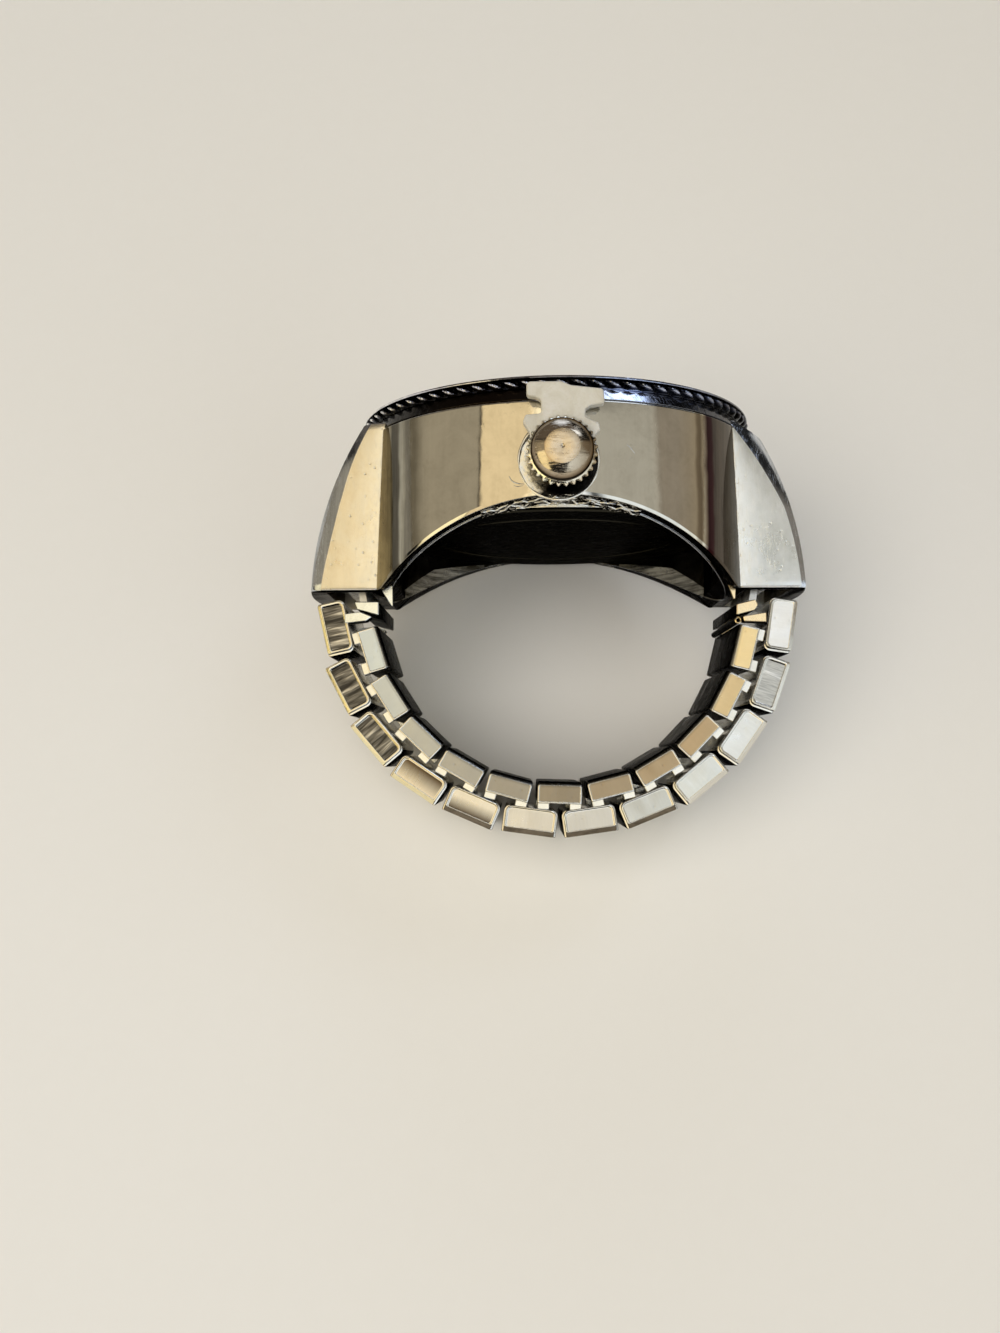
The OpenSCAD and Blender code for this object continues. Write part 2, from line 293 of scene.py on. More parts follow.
def make_piece(shape, name, nodes, materials, sharp_deg, pick=None, body="watch"):
    """One visible piece. pick chooses one of its materials from a face's middle and normal."""
    mesh = finish_mesh(shape, name, sharp_deg)
    for material in materials:
        mesh.materials.append(material)
    if pick:
        paint_faces(mesh, pick)
    piece = in_scene(name, mesh)
    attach(piece, body)
    if nodes:
        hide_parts(*nodes)


def paint_faces(mesh, pick):
    """Gives each face the material that pick names for its middle and normal."""
    index = {material.name: i for i, material in enumerate(mesh.materials)}
    for face in mesh.polygons:
        material = pick(in_watch(face.center), np.array(face.normal) @ WATCH_TURN)
        face.material_index = index[material.name]


# Materials

WHITE = (1.0, 1.0, 1.0)


def rgba(colour):
    """A colour, or a grey given as one number, with its alpha."""
    return (*colour, 1) if isinstance(colour, tuple) else (colour, colour, colour, 1)


class Nodes:
    """Short calls for the nodes of a material, or of the world."""

    def __init__(self, owner):
        self.tree = owner.node_tree

    def put(self, value, socket):
        """Links another node's result to a socket, or sets a number or a colour there."""
        if isinstance(value, bpy.types.NodeSocket):
            self.tree.links.new(value, socket)
        else:
            socket.default_value = rgba(value) if socket.type == "RGBA" else value

    def new(self, kind, inputs, **values):
        """A new node, with some of its inputs and values set."""
        node = self.tree.nodes.new(kind)
        for key, value in values.items():
            setattr(node, key, value)
        for key, value in inputs.items():
            self.put(value, node.inputs[key])
        return node

    def set(self, name, value):
        """Sets or links an input of the material's shader."""
        self.put(value, self.tree.nodes["Principled BSDF"].inputs[name])

    def shade(self, colour):
        """Multiplies the colour that the shader has so far."""
        before = self.tree.nodes["Principled BSDF"].inputs["Base Color"].links[0].from_socket
        self.set("Base Color", self.mix(1.0, before, colour, "MULTIPLY"))

    def attribute(self, name):
        return self.new("ShaderNodeAttribute", {}, attribute_name=name).outputs["Vector"]

    def grain(self, scale=(1, 1, 1), turn=(0, 0, 0)):
        """The piece's grain coordinates, in mm, stretched by scale."""
        inputs = {"Vector": self.attribute("grain"), "Scale": scale, "Rotation": turn}
        return self.new("ShaderNodeMapping", inputs).outputs["Vector"]

    def parts(self):
        """The x, y and z of the grain coordinates."""
        return tuple(self.new("ShaderNodeSeparateXYZ", {"Vector": self.grain()}).outputs)

    def from_axis(self):
        """Distance from the grain's z axis."""
        flat = self.grain((1, 1, 0))
        return self.new("ShaderNodeVectorMath", {0: flat}, operation="LENGTH").outputs["Value"]

    def noise(self, vector, scale, detail, rough=0.5, warp=0.0):
        inputs = {"Vector": vector, "Scale": scale, "Detail": detail, "Roughness": rough, "Distortion": warp}
        return self.new("ShaderNodeTexNoise", inputs).outputs["Fac"]

    def cells(self, vector, scale):
        inputs = {"Vector": vector, "Scale": scale}
        return self.new("ShaderNodeTexVoronoi", inputs, feature="F1").outputs["Distance"]

    def ramp(self, value, stops):
        """Colour ramp of (place, colour or grey)."""
        node = self.new("ShaderNodeValToRGB", {"Fac": value})
        elements = node.color_ramp.elements
        while len(elements) < len(stops):
            elements.new(0.5)
        for element, (place, colour) in zip(elements, stops):
            element.position = place
            element.color = rgba(colour)
        return node.outputs["Color"]

    def ramp_over(self, value, low, high, stops):
        """Colour ramp whose places are values between low and high."""
        share = self.spread(value, 0.0, 1.0, low, high)
        return self.ramp(share, [((place - low) / (high - low), colour) for place, colour in stops])

    def spread(self, value, low, high, from_low=0.0, from_high=1.0, curve="LINEAR"):
        inputs = {"Value": value, "From Min": from_low, "From Max": from_high, "To Min": low, "To Max": high}
        return self.new("ShaderNodeMapRange", inputs, interpolation_type=curve).outputs["Result"]

    def math(self, operation, a, b=0.0):
        return self.new("ShaderNodeMath", {0: a, 1: b}, operation=operation).outputs["Value"]

    def mix(self, factor, a, b, blend="MIX"):
        """Mix of two colours. a and b are sockets or colours."""
        node = self.new("ShaderNodeMix", {0: factor}, data_type="RGBA", blend_type=blend)
        for socket, value in zip([s for s in node.inputs if s.type == "RGBA"], (a, b)):
            self.put(value, socket)
        return next(s for s in node.outputs if s.type == "RGBA")

    def bump(self, height, distance, under=None, strength=1.0):
        """Bump of distance mm at full height, over an earlier one."""
        inputs = {"Height": height, "Strength": strength, "Distance": distance * MM}
        if under:
            inputs["Normal"] = under
        return self.new("ShaderNodeBump", inputs).outputs["Normal"]


def new_material(name, roughness=0.3, metallic=1.0):
    """A new material and its nodes."""
    material = bpy.data.materials.new(name)
    material.use_nodes = True
    n = Nodes(material)
    n.set("Roughness", roughness)
    n.set("Metallic", metallic)
    return material, n


def plating(name, light, dark, roughness, brushed=0.0, brush_scale=(1, 1, 1), wave=0.012,
            scratch=0.004, pit=0.0, tinted=False, glance=None):
    """Plated metal: smudges, a slightly uneven surface, fine scratches and brushing.

    glance is its colour at a flat angle: a dark glance paints shade on dark metal whose flat angles would
    otherwise mirror bright light.
    """
    material, n = new_material(name)
    if glance:
        n.set("Specular Tint", glance)
    plain = n.grain()
    smudge = n.noise(plain, 0.45, 5.0, 0.6, 1.2)
    fine = n.noise(plain, 3.5, 4.0, 0.6)
    lines = n.noise(n.grain(brush_scale), 1.0, 3.0, 0.65)
    tone = n.mix(n.spread(fine, 0.0, 0.6, 0.35, 0.7), n.ramp(smudge, [(0.3, dark), (0.62, light)]), light)
    if brushed:
        groove = tuple(c * 0.55 for c in dark)
        tone = n.mix(brushed, tone, n.ramp(lines, [(0.34, groove), (0.66, light)]))
    if tinted:
        tone = n.mix(1.0, tone, n.attribute("tint"), "MULTIPLY")
    n.set("Base Color", tone)
    rough = n.spread(smudge, *roughness, 0.3, 0.7)
    n.set("Roughness", n.math("ADD", rough, n.spread(lines, 0.0, 0.1 * brushed, 0.3, 0.7)))
    normal = n.bump(n.noise(plain, 0.6, 2.0, 0.5), wave)
    scratches = n.noise(n.grain((1.2, 14.0, 1.2), (0.3, 0.2, 0.6)), 1.5, 4.0, 0.7)
    normal = n.bump(n.spread(scratches, 0.0, 1.0, 0.55, 0.75), scratch, normal)
    if brushed:
        normal = n.bump(lines, 0.006 * brushed, normal)
    if pit:
        normal = n.bump(n.spread(n.cells(plain, 2.2), 0.0, 1.0, 0.0, 0.16), pit, normal)
    n.set("Normal", normal)
    return material


def cast_metal():
    """Rough cast metal on the underside, plated over, with its hollows painted near-black as shade."""
    material, n = new_material("plated_casting")
    worms = n.noise(n.grain((1.0, 1.6, 1.0)), 2.4, 2.0, 0.5, 2.6)
    hollow, slope, raised = (0.008, 0.007, 0.006), (0.06, 0.055, 0.05), (1.0, 0.97, 0.9)
    tone = n.ramp(worms, [(0.5, hollow), (0.57, slope), (0.64, raised)])
    n.set("Base Color", tone)
    n.set("Specular Tint", tone)
    n.set("Roughness", n.spread(worms, 0.22, 0.5))
    n.set("Normal", n.bump(n.noise(n.grain(), 14.0, 2.0), 0.015, n.bump(worms, 0.09)))
    return material


# Painted shade and reflections on the barrel beside the lugs, as dark, pale and maroon streaks: angle from the
# crown in degrees, and colour or grey
LUG_SHADE = [
    (-58, (0.34, 0.31, 0.24)), (-55.5, (0.3, 0.28, 0.22)), (-54.5, (0.07, 0.065, 0.05)),
    (-51.5, (0.14, 0.13, 0.11)), (-50.5, (0.5, 0.5, 0.46)), (-49, (0.46, 0.45, 0.4)),
    (-48, (0.3, 0.29, 0.26)), (-44, (0.44, 0.43, 0.41)), (-41, 0.84), (-38, 1.0), (33, 1.0),
    (40, (1.0, 0.95, 0.84)),
    (41, (0.5, 0.44, 0.36)), (42.4, (0.42, 0.37, 0.3)), (43, (0.85, 0.8, 0.7)), (43.6, (0.8, 0.75, 0.65)),
    (44.4, (0.34, 0.28, 0.24)), (45.4, (0.035, 0.007, 0.01)), (47.6, (0.045, 0.01, 0.014)),
    (48.4, (0.1, 0.085, 0.075)), (58, (0.13, 0.11, 0.09)),
]
# Painted shade and reflections on the bezel's band and on its rope edge, in the same way: the band dark with a
# painted bluish highlight right of the crown, the rope darker to the right
BAND_SHADE = [
    (-60, 0.02), (-20, (0.03, 0.022, 0.018)), (-8, (0.05, 0.042, 0.038)), (8, (0.2, 0.2, 0.22)),
    (13, (0.75, 0.8, 0.95)), (22, (0.6, 0.66, 0.85)), (27, (0.2, 0.21, 0.25)), (60, (0.06, 0.06, 0.065)),
]
ROPE_SHADE = [
    (-180, 1.0), (-61.2, 1.0), (-36, (0.8, 0.8, 0.88)), (3.6, (0.8, 0.8, 0.88)), (10.8, (0.5, 0.55, 0.72)),
    (36, (0.45, 0.5, 0.66)), (52.2, (0.12, 0.12, 0.14)), (93.6, (0.12, 0.12, 0.14)), (118.8, 1.0),
]
# Painted shade on the crown, dark towards the dome's rim and behind the knurl, with a painted highlight on the
# knurl, from the middle of its dome out to the knurl: distance from its axis, and colour
CROWN_SHADE = [
    (1.0, (0.84, 0.78, 0.7)), (1.28, (0.74, 0.68, 0.6)), (1.416, (0.3, 0.25, 0.2)),
    (1.456, (0.08, 0.07, 0.06)), (1.488, (0.03, 0.025, 0.02)), (1.504, (1.3, 1.3, 1.26)),
    (1.704, (1.3, 1.3, 1.26)), (1.744, (0.3, 0.27, 0.22)), (1.8, (0.5, 0.46, 0.4)),
]


def shade_near_lugs(material):
    """Painted shade and reflections: darker and lighter upright streaks on the barrel beside the lugs."""
    n = Nodes(material)
    x = n.parts()[0]
    along = n.math("ADD", x, n.spread(n.noise(n.grain((0.3, 0.3, 0.5)), 1.0, 2.0), -0.22, 0.22))
    reach = math.radians(60) * CASE_R
    tone = n.ramp_over(along, -reach, reach, [(math.radians(place) * CASE_R, c) for place, c in LUG_SHADE])
    streaks = n.spread(n.noise(n.grain((2.4, 1.0, 0.12)), 1.6, 4.0, 0.7), 0.0, 1.0, 0.3, 0.6)
    streaked = n.mix(1.0, tone, n.ramp(streaks, [(0.0, 0.3), (1.0, 1.4)]), "MULTIPLY")
    near_lug = n.spread(n.math("ABSOLUTE", x), 0.0, 0.4, 7.2, 8.8)
    n.shade(n.mix(near_lug, tone, streaked))


def turn_of(n):
    """Angle from the crown, in degrees, of a point of a piece turned round the watch."""
    x, y, _ = n.parts()
    return n.math("MULTIPLY", n.math("ARCTAN2", x, n.math("MULTIPLY", y, -1.0)), math.degrees(1))


# Painted shade and a painted bluish highlight on the bezel's band, by angle from the crown
def shade_band(material):
    n = Nodes(material)
    n.shade(n.ramp_over(turn_of(n), -60, 60, BAND_SHADE))


def shade_crown_rim(material):
    """Paints shade on the crown's dome towards its rim, on its right side and in the hollow behind it, and a
    highlight on the knurl.
    """
    n = Nodes(material)
    right = n.ramp_over(n.parts()[0], 0.2, 1.5, [(0.2, 1.0), (1.5, (0.5, 0.45, 0.38))])
    n.shade(n.mix(1.0, n.ramp_over(n.from_axis(), 1.0, 1.8, CROWN_SHADE), right, "MULTIPLY"))


def shade_across(material, low, high, end, middle=0.55):
    """Paints shade on a surface from grain z low to high, such as a link's towards the finger."""
    n = Nodes(material)
    share = n.spread(n.parts()[2], 0.0, 1.0, low, high)
    n.shade(n.ramp(share, [(0.0, 1.0), (0.5, middle), (1.0, end)]))


def recess_metal(name, dark, light):
    """Hollow of a link's end with marks of the press across it."""
    material, n = new_material(name)
    lines = n.noise(n.grain((2.1, 1, 0.22)), 1.7, 3.0, 0.6, 0.25)
    hairs = n.noise(n.grain((6.0, 1, 0.5)), 2.4, 2.0, 0.6)
    middle = tuple((a * 3 + b) / 4 for a, b in zip(dark, light))
    tone = n.ramp(lines, [(0.4, dark), (0.56, middle), (0.68, light)])
    n.set("Base Color", n.mix(1.0, tone, n.ramp(hairs, [(0.35, 0.66), (0.6, 1.0)]), "MULTIPLY"))
    n.set("Roughness", n.spread(hairs, 0.24, 0.42))
    n.set("Normal", n.bump(lines, 0.02))
    return material


def rope_plating():
    """Bright strands with painted shade in the hollows between them, and painted shade along the rope by angle
    from the crown.
    """
    material, n = new_material("rope_plating")
    plain = n.grain()
    height = n.math("ADD", n.from_axis(), n.spread(n.noise(plain, 2.5, 3.0), -0.05, 0.05))
    share = n.spread(height, 0.0, 1.0, 10.42, 10.66)
    n.set("Base Color", n.ramp(share, [(0.35, (0.015, 0.015, 0.018)), (0.7, (0.2, 0.2, 0.23)), (0.92, 1.0)]))
    n.shade(n.ramp_over(turn_of(n), -180, 180, ROPE_SHADE))
    n.set("Roughness", n.spread(n.noise(plain, 3.0, 3.0), 0.08, 0.2))
    n.set("Normal", n.bump(n.noise(plain, 5.0, 3.0), 0.01))
    return material


def seat_metal():
    """Floor of the crown's seat: pale on the left, with painted shade under the crown at its lower edge."""
    material, n = new_material("seat_floor", 0.2)
    x, _, z = n.parts()
    height = n.math("SUBTRACT", z, n.math("MULTIPLY", x, 1.1))
    edge = n.math("ADD", height, n.spread(n.noise(n.grain(), 1.6, 3.0), -0.4, 0.4))
    share = n.spread(edge, 0.0, 1.0, 5.8, 7.0)
    tone = n.ramp(share, [(0.2, (0.012, 0.011, 0.01)), (0.5, (0.5, 0.45, 0.37)), (0.9, (0.72, 0.68, 0.6))])
    n.set("Base Color", tone)
    n.set("Normal", n.bump(n.noise(n.grain(), 3.0, 3.0), 0.02))
    return material


def stopper_plastic():
    """Cream moulded plastic, a little mottled."""
    material, n = new_material("cream_plastic", metallic=0.0)
    n.set("Subsurface Weight", 0.12)
    n.set("Subsurface Radius", (0.0012, 0.0009, 0.0006))
    mottle = n.noise(n.grain(), 0.9, 4.0, 0.6, 0.6)
    fine = n.noise(n.grain(), 9.0, 3.0, 0.6)
    tone = n.ramp(mottle, [(0.3, (0.5, 0.47, 0.4)), (0.5, (0.57, 0.55, 0.49)), (0.7, (0.62, 0.6, 0.56))])
    n.set("Base Color", n.mix(n.spread(fine, 0.0, 0.25, 0.5, 0.7), tone, (0.5, 0.44, 0.34)))
    n.set("Roughness", n.spread(fine, 0.38, 0.58, 0.3, 0.7))
    n.set("Normal", n.bump(fine, 0.012, n.bump(mottle, 0.05)))
    return material


def glass():
    """Mineral crystal with faint wiping marks."""
    material, n = new_material("mineral_glass", 0.02, 0.0)
    n.set("Transmission Weight", 1.0)
    n.set("IOR", 1.5)
    marks = n.noise(n.grain((1, 6, 1), (0, 0, 0.5)), 0.8, 5.0, 0.7)
    n.set("Roughness", n.spread(marks, 0.01, 0.06, 0.45, 0.75))
    n.set("Base Color", n.ramp(marks, [(0.3, (0.96, 0.98, 0.98)), (0.7, 1.0)]))
    return material


def dial_paint():
    """Pale dial with a fine sunburst under clear lacquer."""
    material, n = new_material("dial_lacquer", 0.32, 0.15)
    n.set("Coat Weight", 0.5)
    n.set("Coat Roughness", 0.08)
    x, y, _ = n.parts()
    turn = n.math("MULTIPLY", n.math("ARCTAN2", y, x), 40.0)
    rays = n.new("ShaderNodeCombineXYZ", {"X": turn}).outputs["Vector"]
    burst = n.noise(rays, 1.0, 4.0, 0.7)
    n.set("Base Color", n.ramp(burst, [(0.25, (0.72, 0.71, 0.67)), (0.75, (0.87, 0.86, 0.82))]))
    n.set("Normal", n.bump(burst, 0.006))
    return material


def enamel(name, colour, roughness):
    """Printed or lacquered colour with a little unevenness."""
    material, n = new_material(name, roughness, 0.0)
    patch = n.noise(n.grain(), 6.0, 3.0, 0.6)
    lighter = tuple(min(1.0, c * 1.5 + 0.01) for c in colour)
    n.set("Base Color", n.ramp(patch, [(0.3, colour), (0.7, lighter)]))
    n.set("Roughness", n.spread(patch, roughness - 0.08, roughness + 0.08))
    n.set("Normal", n.bump(patch, 0.004))
    return material


def floor_paper():
    """Pale studio paper."""
    material, n = new_material("studio_paper", 0.75, 0.0)
    where = n.new("ShaderNodeTexCoord", {}).outputs["Object"]
    fibre = n.noise(where, 900.0, 4.0, 0.6)
    broad = n.noise(where, 18.0, 2.0, 0.5)
    tone = n.mix(n.spread(broad, 0.0, 0.35), (0.78, 0.77, 0.75), (0.74, 0.73, 0.71))
    n.set("Base Color", n.mix(n.spread(fibre, 0.0, 0.2), tone, (0.7, 0.69, 0.66)))
    n.set("Normal", n.bump(fibre, 0.03, strength=0.4))
    return material


# Roughness, brushing, its scale, wave, scratches and pits of the lugs' front faces
SATIN = ((0.24, 0.4), 0.12, (1.6, 1.6, 0.5), 0.014, 0.004, 0.02)
# Scale of the brushing across the links' end faces
ACROSS = (7, 1, 0.8)
# Dark colour at flat angles, which paints shade on dark metal
SHADED_GLANCE = (0.06, 0.055, 0.05)
PALE = (0.92, 0.92, 0.92)

BARREL = plating("plated_barrel", (0.84, 0.81, 0.74), (0.68, 0.65, 0.58), (0.03, 0.09), 0.1,
                 (1.6, 1.6, 0.12), scratch=0.0012)
# The left lug's face is tinted warm and the right one's cool, as painted reflections of warm and cool light
FACET = plating("satin_facet", (0.96, 0.92, 0.82), (0.8, 0.74, 0.63), *SATIN)
COOL_FACET = plating("cool_satin_facet", (1.0, 1.0, 0.99), (0.86, 0.87, 0.83), *SATIN)
LUG_SIDE = plating("plated_lug_side", (0.76, 0.8, 0.88), (0.56, 0.58, 0.62), (0.08, 0.18), 0.5,
                   (1.6, 1.6, 0.15))
SHADED_SIDE = plating("shaded_lug_side", (0.62, 0.6, 0.56), (0.5, 0.48, 0.44), (0.14, 0.26),
                      glance=(0.1, 0.09, 0.08))
CASTING = cast_metal()
THREAD = plating("worn_thread", (1.0, 0.99, 0.95), (0.9, 0.88, 0.84), (0.22, 0.36), wave=0.002)
# Inside of the skirt and the case's undersides, painted near-black as shade under the case
DARK_INSIDE = plating("dark_skirt_inside", (0.05, 0.047, 0.04), (0.016, 0.015, 0.013), (0.16, 0.3),
                      wave=0.05, glance=SHADED_GLANCE)
FLARE_METAL = plating("skirt_flare", (0.5, 0.48, 0.42), (0.03, 0.028, 0.024), (0.16, 0.3), 0.85,
                      (0.3, 1.0, 4.5), 0.05, glance=(0.2, 0.19, 0.17))
SEAT_FLOOR = seat_metal()
# Back plate painted near-black as shade inside the ring
BACK_METAL = plating("shaded_dark_back", (0.045, 0.042, 0.032), (0.02, 0.019, 0.015), (0.24, 0.4), 0.35,
                     (0.4, 7, 1), glance=SHADED_GLANCE)
WORKS = plating("movement_plate", (0.6, 0.58, 0.52), (0.45, 0.43, 0.38), (0.3, 0.45))
BAR_METAL = plating("turned_bar", (0.7, 0.7, 0.69), (0.55, 0.55, 0.54), (0.2, 0.34), 0.3, (1, 9, 1))
# Painted streaks of shade and reflection on the barrel beside the lugs
shade_near_lugs(BARREL)
# Painted shade on the right lug's face, darker towards its top
shade_across(COOL_FACET, 5.5, 10.0, (0.7, 0.7, 0.66), 0.9)

ROPE_METAL = rope_plating()
BAND_METAL = plating("dark_bezel_band", WHITE, (0.5, 0.48, 0.46), (0.06, 0.14))
BEZEL_INSIDE = plating("bezel_flange", (0.5, 0.5, 0.5), (0.42, 0.42, 0.42), (0.3, 0.4), wave=0.003,
                       scratch=0.001)
BEZEL_TOP = plating("bezel_top", (0.72, 0.71, 0.7), (0.6, 0.59, 0.58), (0.14, 0.24), 0.08, (2.0, 2.0, 1.0),
                    0.003, 0.0015)
GLASS = glass()
DIAL_PAINT = dial_paint()
INK = enamel("dial_ink", (0.012, 0.012, 0.016), 0.3)
HAND_BLACK = enamel("hand_lacquer", (0.01, 0.01, 0.012), 0.16)
HAND_RED = enamel("second_hand_lacquer", (0.45, 0.02, 0.02), 0.2)
shade_band(BAND_METAL)

CROWN_METAL = plating("plated_crown", (0.84, 0.78, 0.68), (0.72, 0.65, 0.55), (0.08, 0.16), wave=0.004,
                      glance=(0.16, 0.14, 0.12))
CROWN_DISC = plating("satin_crown_disc", (0.72, 0.6, 0.44), (0.66, 0.54, 0.4), (0.22, 0.34), 0.06, (3, 3, 3),
                     0.003)
PLASTIC = stopper_plastic()
shade_crown_rim(CROWN_METAL)

HOOK_METAL = plating("plated_hook", WHITE, (0.7, 0.7, 0.7), (0.15, 0.32), tinted=True)
CLIP_METAL = plating("bright_clip", (0.9, 0.89, 0.84), (0.8, 0.78, 0.71), (0.2, 0.36))
LINK_SHELL = plating("link_shell", (0.86, 0.84, 0.78), (0.76, 0.73, 0.66), (0.12, 0.28), 0.1, (1, 8, 1))
LINK_FACE = plating("link_face", WHITE, PALE, (0.24, 0.4), 0.1, ACROSS, pit=0.008, tinted=True)
SHADED_FACE = plating("shaded_link_face", WHITE, PALE, (0.2, 0.34), 0.1, ACROSS, tinted=True)
# A link face painted with shade, darker towards the finger
INWARD_SHADED_FACE = plating("inward_shaded_link_face", (1.0, 0.97, 0.92), (0.9, 0.86, 0.8), (0.2, 0.34), 0.2, ACROSS,
                     tinted=True)
# The outer links' slanted strip: yellow as a painted reflection of warm light on the left, dark as painted shade
# at the bottom
STRIP_YELLOW = plating("yellow_link_strip", (1.0, 0.9, 0.6), (0.9, 0.78, 0.46), (0.12, 0.26))
STRIP_DARK = plating("dark_link_strip", (0.26, 0.22, 0.17), (0.07, 0.06, 0.048), (0.12, 0.26), 0.3,
                     (1.5, 1, 5), glance=SHADED_GLANCE)
# Press marks in the links' recesses, in a dark copy on the left and a pale copy on the right as painted shade and
# light
LINK_RECESS = recess_metal("dark_link_recess", (0.06, 0.056, 0.052), (0.8, 0.76, 0.7))
PALE_RECESS = recess_metal("pale_link_recess", (0.62, 0.62, 0.6), WHITE)
INNER_SHELL = plating("inner_link_shell", (0.95, 0.94, 0.9), (0.8, 0.78, 0.72), (0.16, 0.3), 0.1, (1, 8, 1))
INNER_FACE = plating("inner_link_face", WHITE, (0.92, 0.91, 0.9), (0.26, 0.4), 0.06, (5, 1, 1), pit=0.01,
                     tinted=True)
LINK_END = plating("shaded_link_end", (0.05, 0.047, 0.044), (0.02, 0.019, 0.018), (0.2, 0.36), glance=SHADED_GLANCE)
# Painted shade across link faces: one outer link darker outwards, one darker towards the finger, and the inner
# links darker towards the finger
shade_across(SHADED_FACE, 0.3, -0.4, (0.1, 0.075, 0.055))
shade_across(INWARD_SHADED_FACE, -0.35, 0.5, (0.16, 0.125, 0.09))
shade_across(INNER_FACE, 0.22, 0.58, (0.06, 0.055, 0.05))
shade_across(INNER_SHELL, 0.22, 0.58, (0.06, 0.055, 0.05))


# Case

ARCH_R = 13.3
ARCH_TOP = 4.95
SKIRT_T = 1.2
HOLDER_LOW = 5.0
CAVITY_R = 8.5
WALL_STEPS = 360
SKIRT_R = CASE_R - SKIRT_T
# Bright edge along the arch outside, and the raised lip along its inside
RIM_H = 0.17
RIM_IN = 0.035
LIP_W = 0.1
LIP_H = 0.07
# Flare inside the skirt: its full height and slope, and its share of them at degrees from the far side
FLARE_H = 0.95
FLARE_SLOPE = 0.2
FLARE = [(0, 0.02), (25, 0.03), (52, 1.0), (62, 0.8), (90, 0.02), (180, 0.02)]


def arch_z(x):
    """Height of the finger arch over x, no lower than the lugs."""
    return max(LUG_LOW, ARCH_TOP - ARCH_R + math.sqrt(ARCH_R ** 2 - x ** 2))


def case_wall():
    """The round wall with its skirt, cut by the arch, and the shelf for the movement."""
    rings = []
    for a in turns(WALL_STEPS):
        outer_low = arch_z(CASE_R * math.sin(a))
        inner_low = min(arch_z(SKIRT_R * math.sin(a)), HOLDER_LOW - 0.04)
        flare = FLARE_H * float(np.interp(abs(math.degrees(a) - 180), *zip(*FLARE)))
        section = rounded([
            (CAVITY_R, CASE_TOP, 0.05),
            (CASE_R, CASE_TOP, 0.12),
            (CASE_R, outer_low + RIM_H, 0.05),
            (CASE_R - RIM_IN, outer_low, 0.03),
            (SKIRT_R + LIP_W, inner_low, 0.01),
            (SKIRT_R + LIP_W - 0.01, inner_low - LIP_H, 0.02),
            (SKIRT_R, inner_low - LIP_H, 0.03),
            (SKIRT_R - FLARE_SLOPE * flare, inner_low + flare, 0.01),
            (SKIRT_R - FLARE_SLOPE * flare, HOLDER_LOW + 0.01 * flare, 0.01),
            (CAVITY_R, HOLDER_LOW, 0.05),
        ], 4)
        rings.append(np.stack([section[:, 0] * math.sin(a), -section[:, 0] * math.cos(a), section[:, 1]], 1))
    return Shape().loft(rings, wrap=True)


LUG_CURVE_R = 17.6
LUG_CURVE_Z = 0.44
LUG_TOP_HALF_W = 5.2
LUG_LOW_HALF_W = 4.35
LUG_ROOT_X = 8.7
LUG_BOW_R = 20.0
LUG_STEPS = 26
LUG_EDGE_R = 0.1
LUG_TOP = CASE_TOP + 0.32
# Width of the bevels of the left and right lug, at shares of its height
LUG_BEVEL = {
    -1: [(0, 0.45), (0.25, 0.63), (0.4, 0.67), (0.6, 0.6), (0.8, 0.42), (1, 0.3)],
    1: [(0, 0.2), (0.5, 0.34), (0.68, 0.62), (0.85, 0.86), (1, 1.1)],
}


def lug_x(z):
    """How far out the lug reaches at a height."""
    root = LUG_END - math.sqrt(LUG_CURVE_R ** 2 - (LUG_LOW - LUG_CURVE_Z) ** 2)
    return root + math.sqrt(LUG_CURVE_R ** 2 - (z - LUG_CURVE_Z) ** 2)


def lug(side):
    """One lug as a stack of level outlines: flat near and far faces, a bevel, a bowed outside."""
    rings = []
    edge = LUG_EDGE_R
    first = 0.3 * edge
    heights = [LUG_LOW, LUG_LOW + first, *np.linspace(LUG_LOW + edge, LUG_TOP - edge, LUG_STEPS)]
    for z in [*heights, LUG_TOP - first, LUG_TOP]:
        near_end = min(z - LUG_LOW, LUG_TOP - z)
        inset = max(0.0, edge - math.sqrt(max(0.0, edge ** 2 - max(0.0, edge - near_end) ** 2)))
        share = min(1.0, (z - LUG_LOW) / (CASE_TOP - LUG_LOW))
        rings.append(lug_outline(side, lug_x(z) - inset, share, inset, z))
    return Shape().loft(rings)


def lug_outline(side, out, share, inset, z):
    """Level outline of a lug that reaches out to x = out, share of the way up."""
    half_w = LUG_LOW_HALF_W + (LUG_TOP_HALF_W - LUG_LOW_HALF_W) * share - inset
    bevel = float(np.interp(share, *zip(*LUG_BEVEL[side])))

    def bowed(y):
        return out - LUG_BOW_R + math.sqrt(LUG_BOW_R ** 2 - y ** 2)

    corner = bowed(half_w)
    start = corner - bevel
    half = [(LUG_ROOT_X, -half_w), (start - 0.02, -half_w), (start + 0.02, -half_w + 0.015)]
    half += [(corner - 0.1, -half_w + bevel * 0.55), (corner - 0.05, -half_w + bevel * 0.62)]
    for back in (0.9, 1.3):
        half.append((bowed(half_w - bevel * back), -half_w + bevel * back))
    for share_y in (0.75, 0.5, 0.25):
        y = -(half_w - bevel * 1.3) * share_y
        half.append((bowed(y), y))
    outline = half + [(out, 0.0)] + [(x, -y) for x, y in reversed(half)]
    return [(side * x, y, z) for x, y in outline]


# Slope of the top of the left and right lug, and where it starts
LUG_TOP_DROP = {-1: 0.12, 1: 0.5}
LUG_TOP_FROM = 9.15


def lug_top_cut(side):
    """Cutter that slopes the top of a lug down outwards."""
    reach = 3.0
    far = LUG_TOP_FROM + reach
    drop = reach * LUG_TOP_DROP[side]
    wedge = [(LUG_TOP_FROM, LUG_TOP), (far, LUG_TOP - drop), (far, LUG_TOP + 1), (LUG_TOP_FROM, LUG_TOP + 1)]
    return Shape().loft([[(side * x, y, z) for x, z in wedge] for y in (-7, 7)])


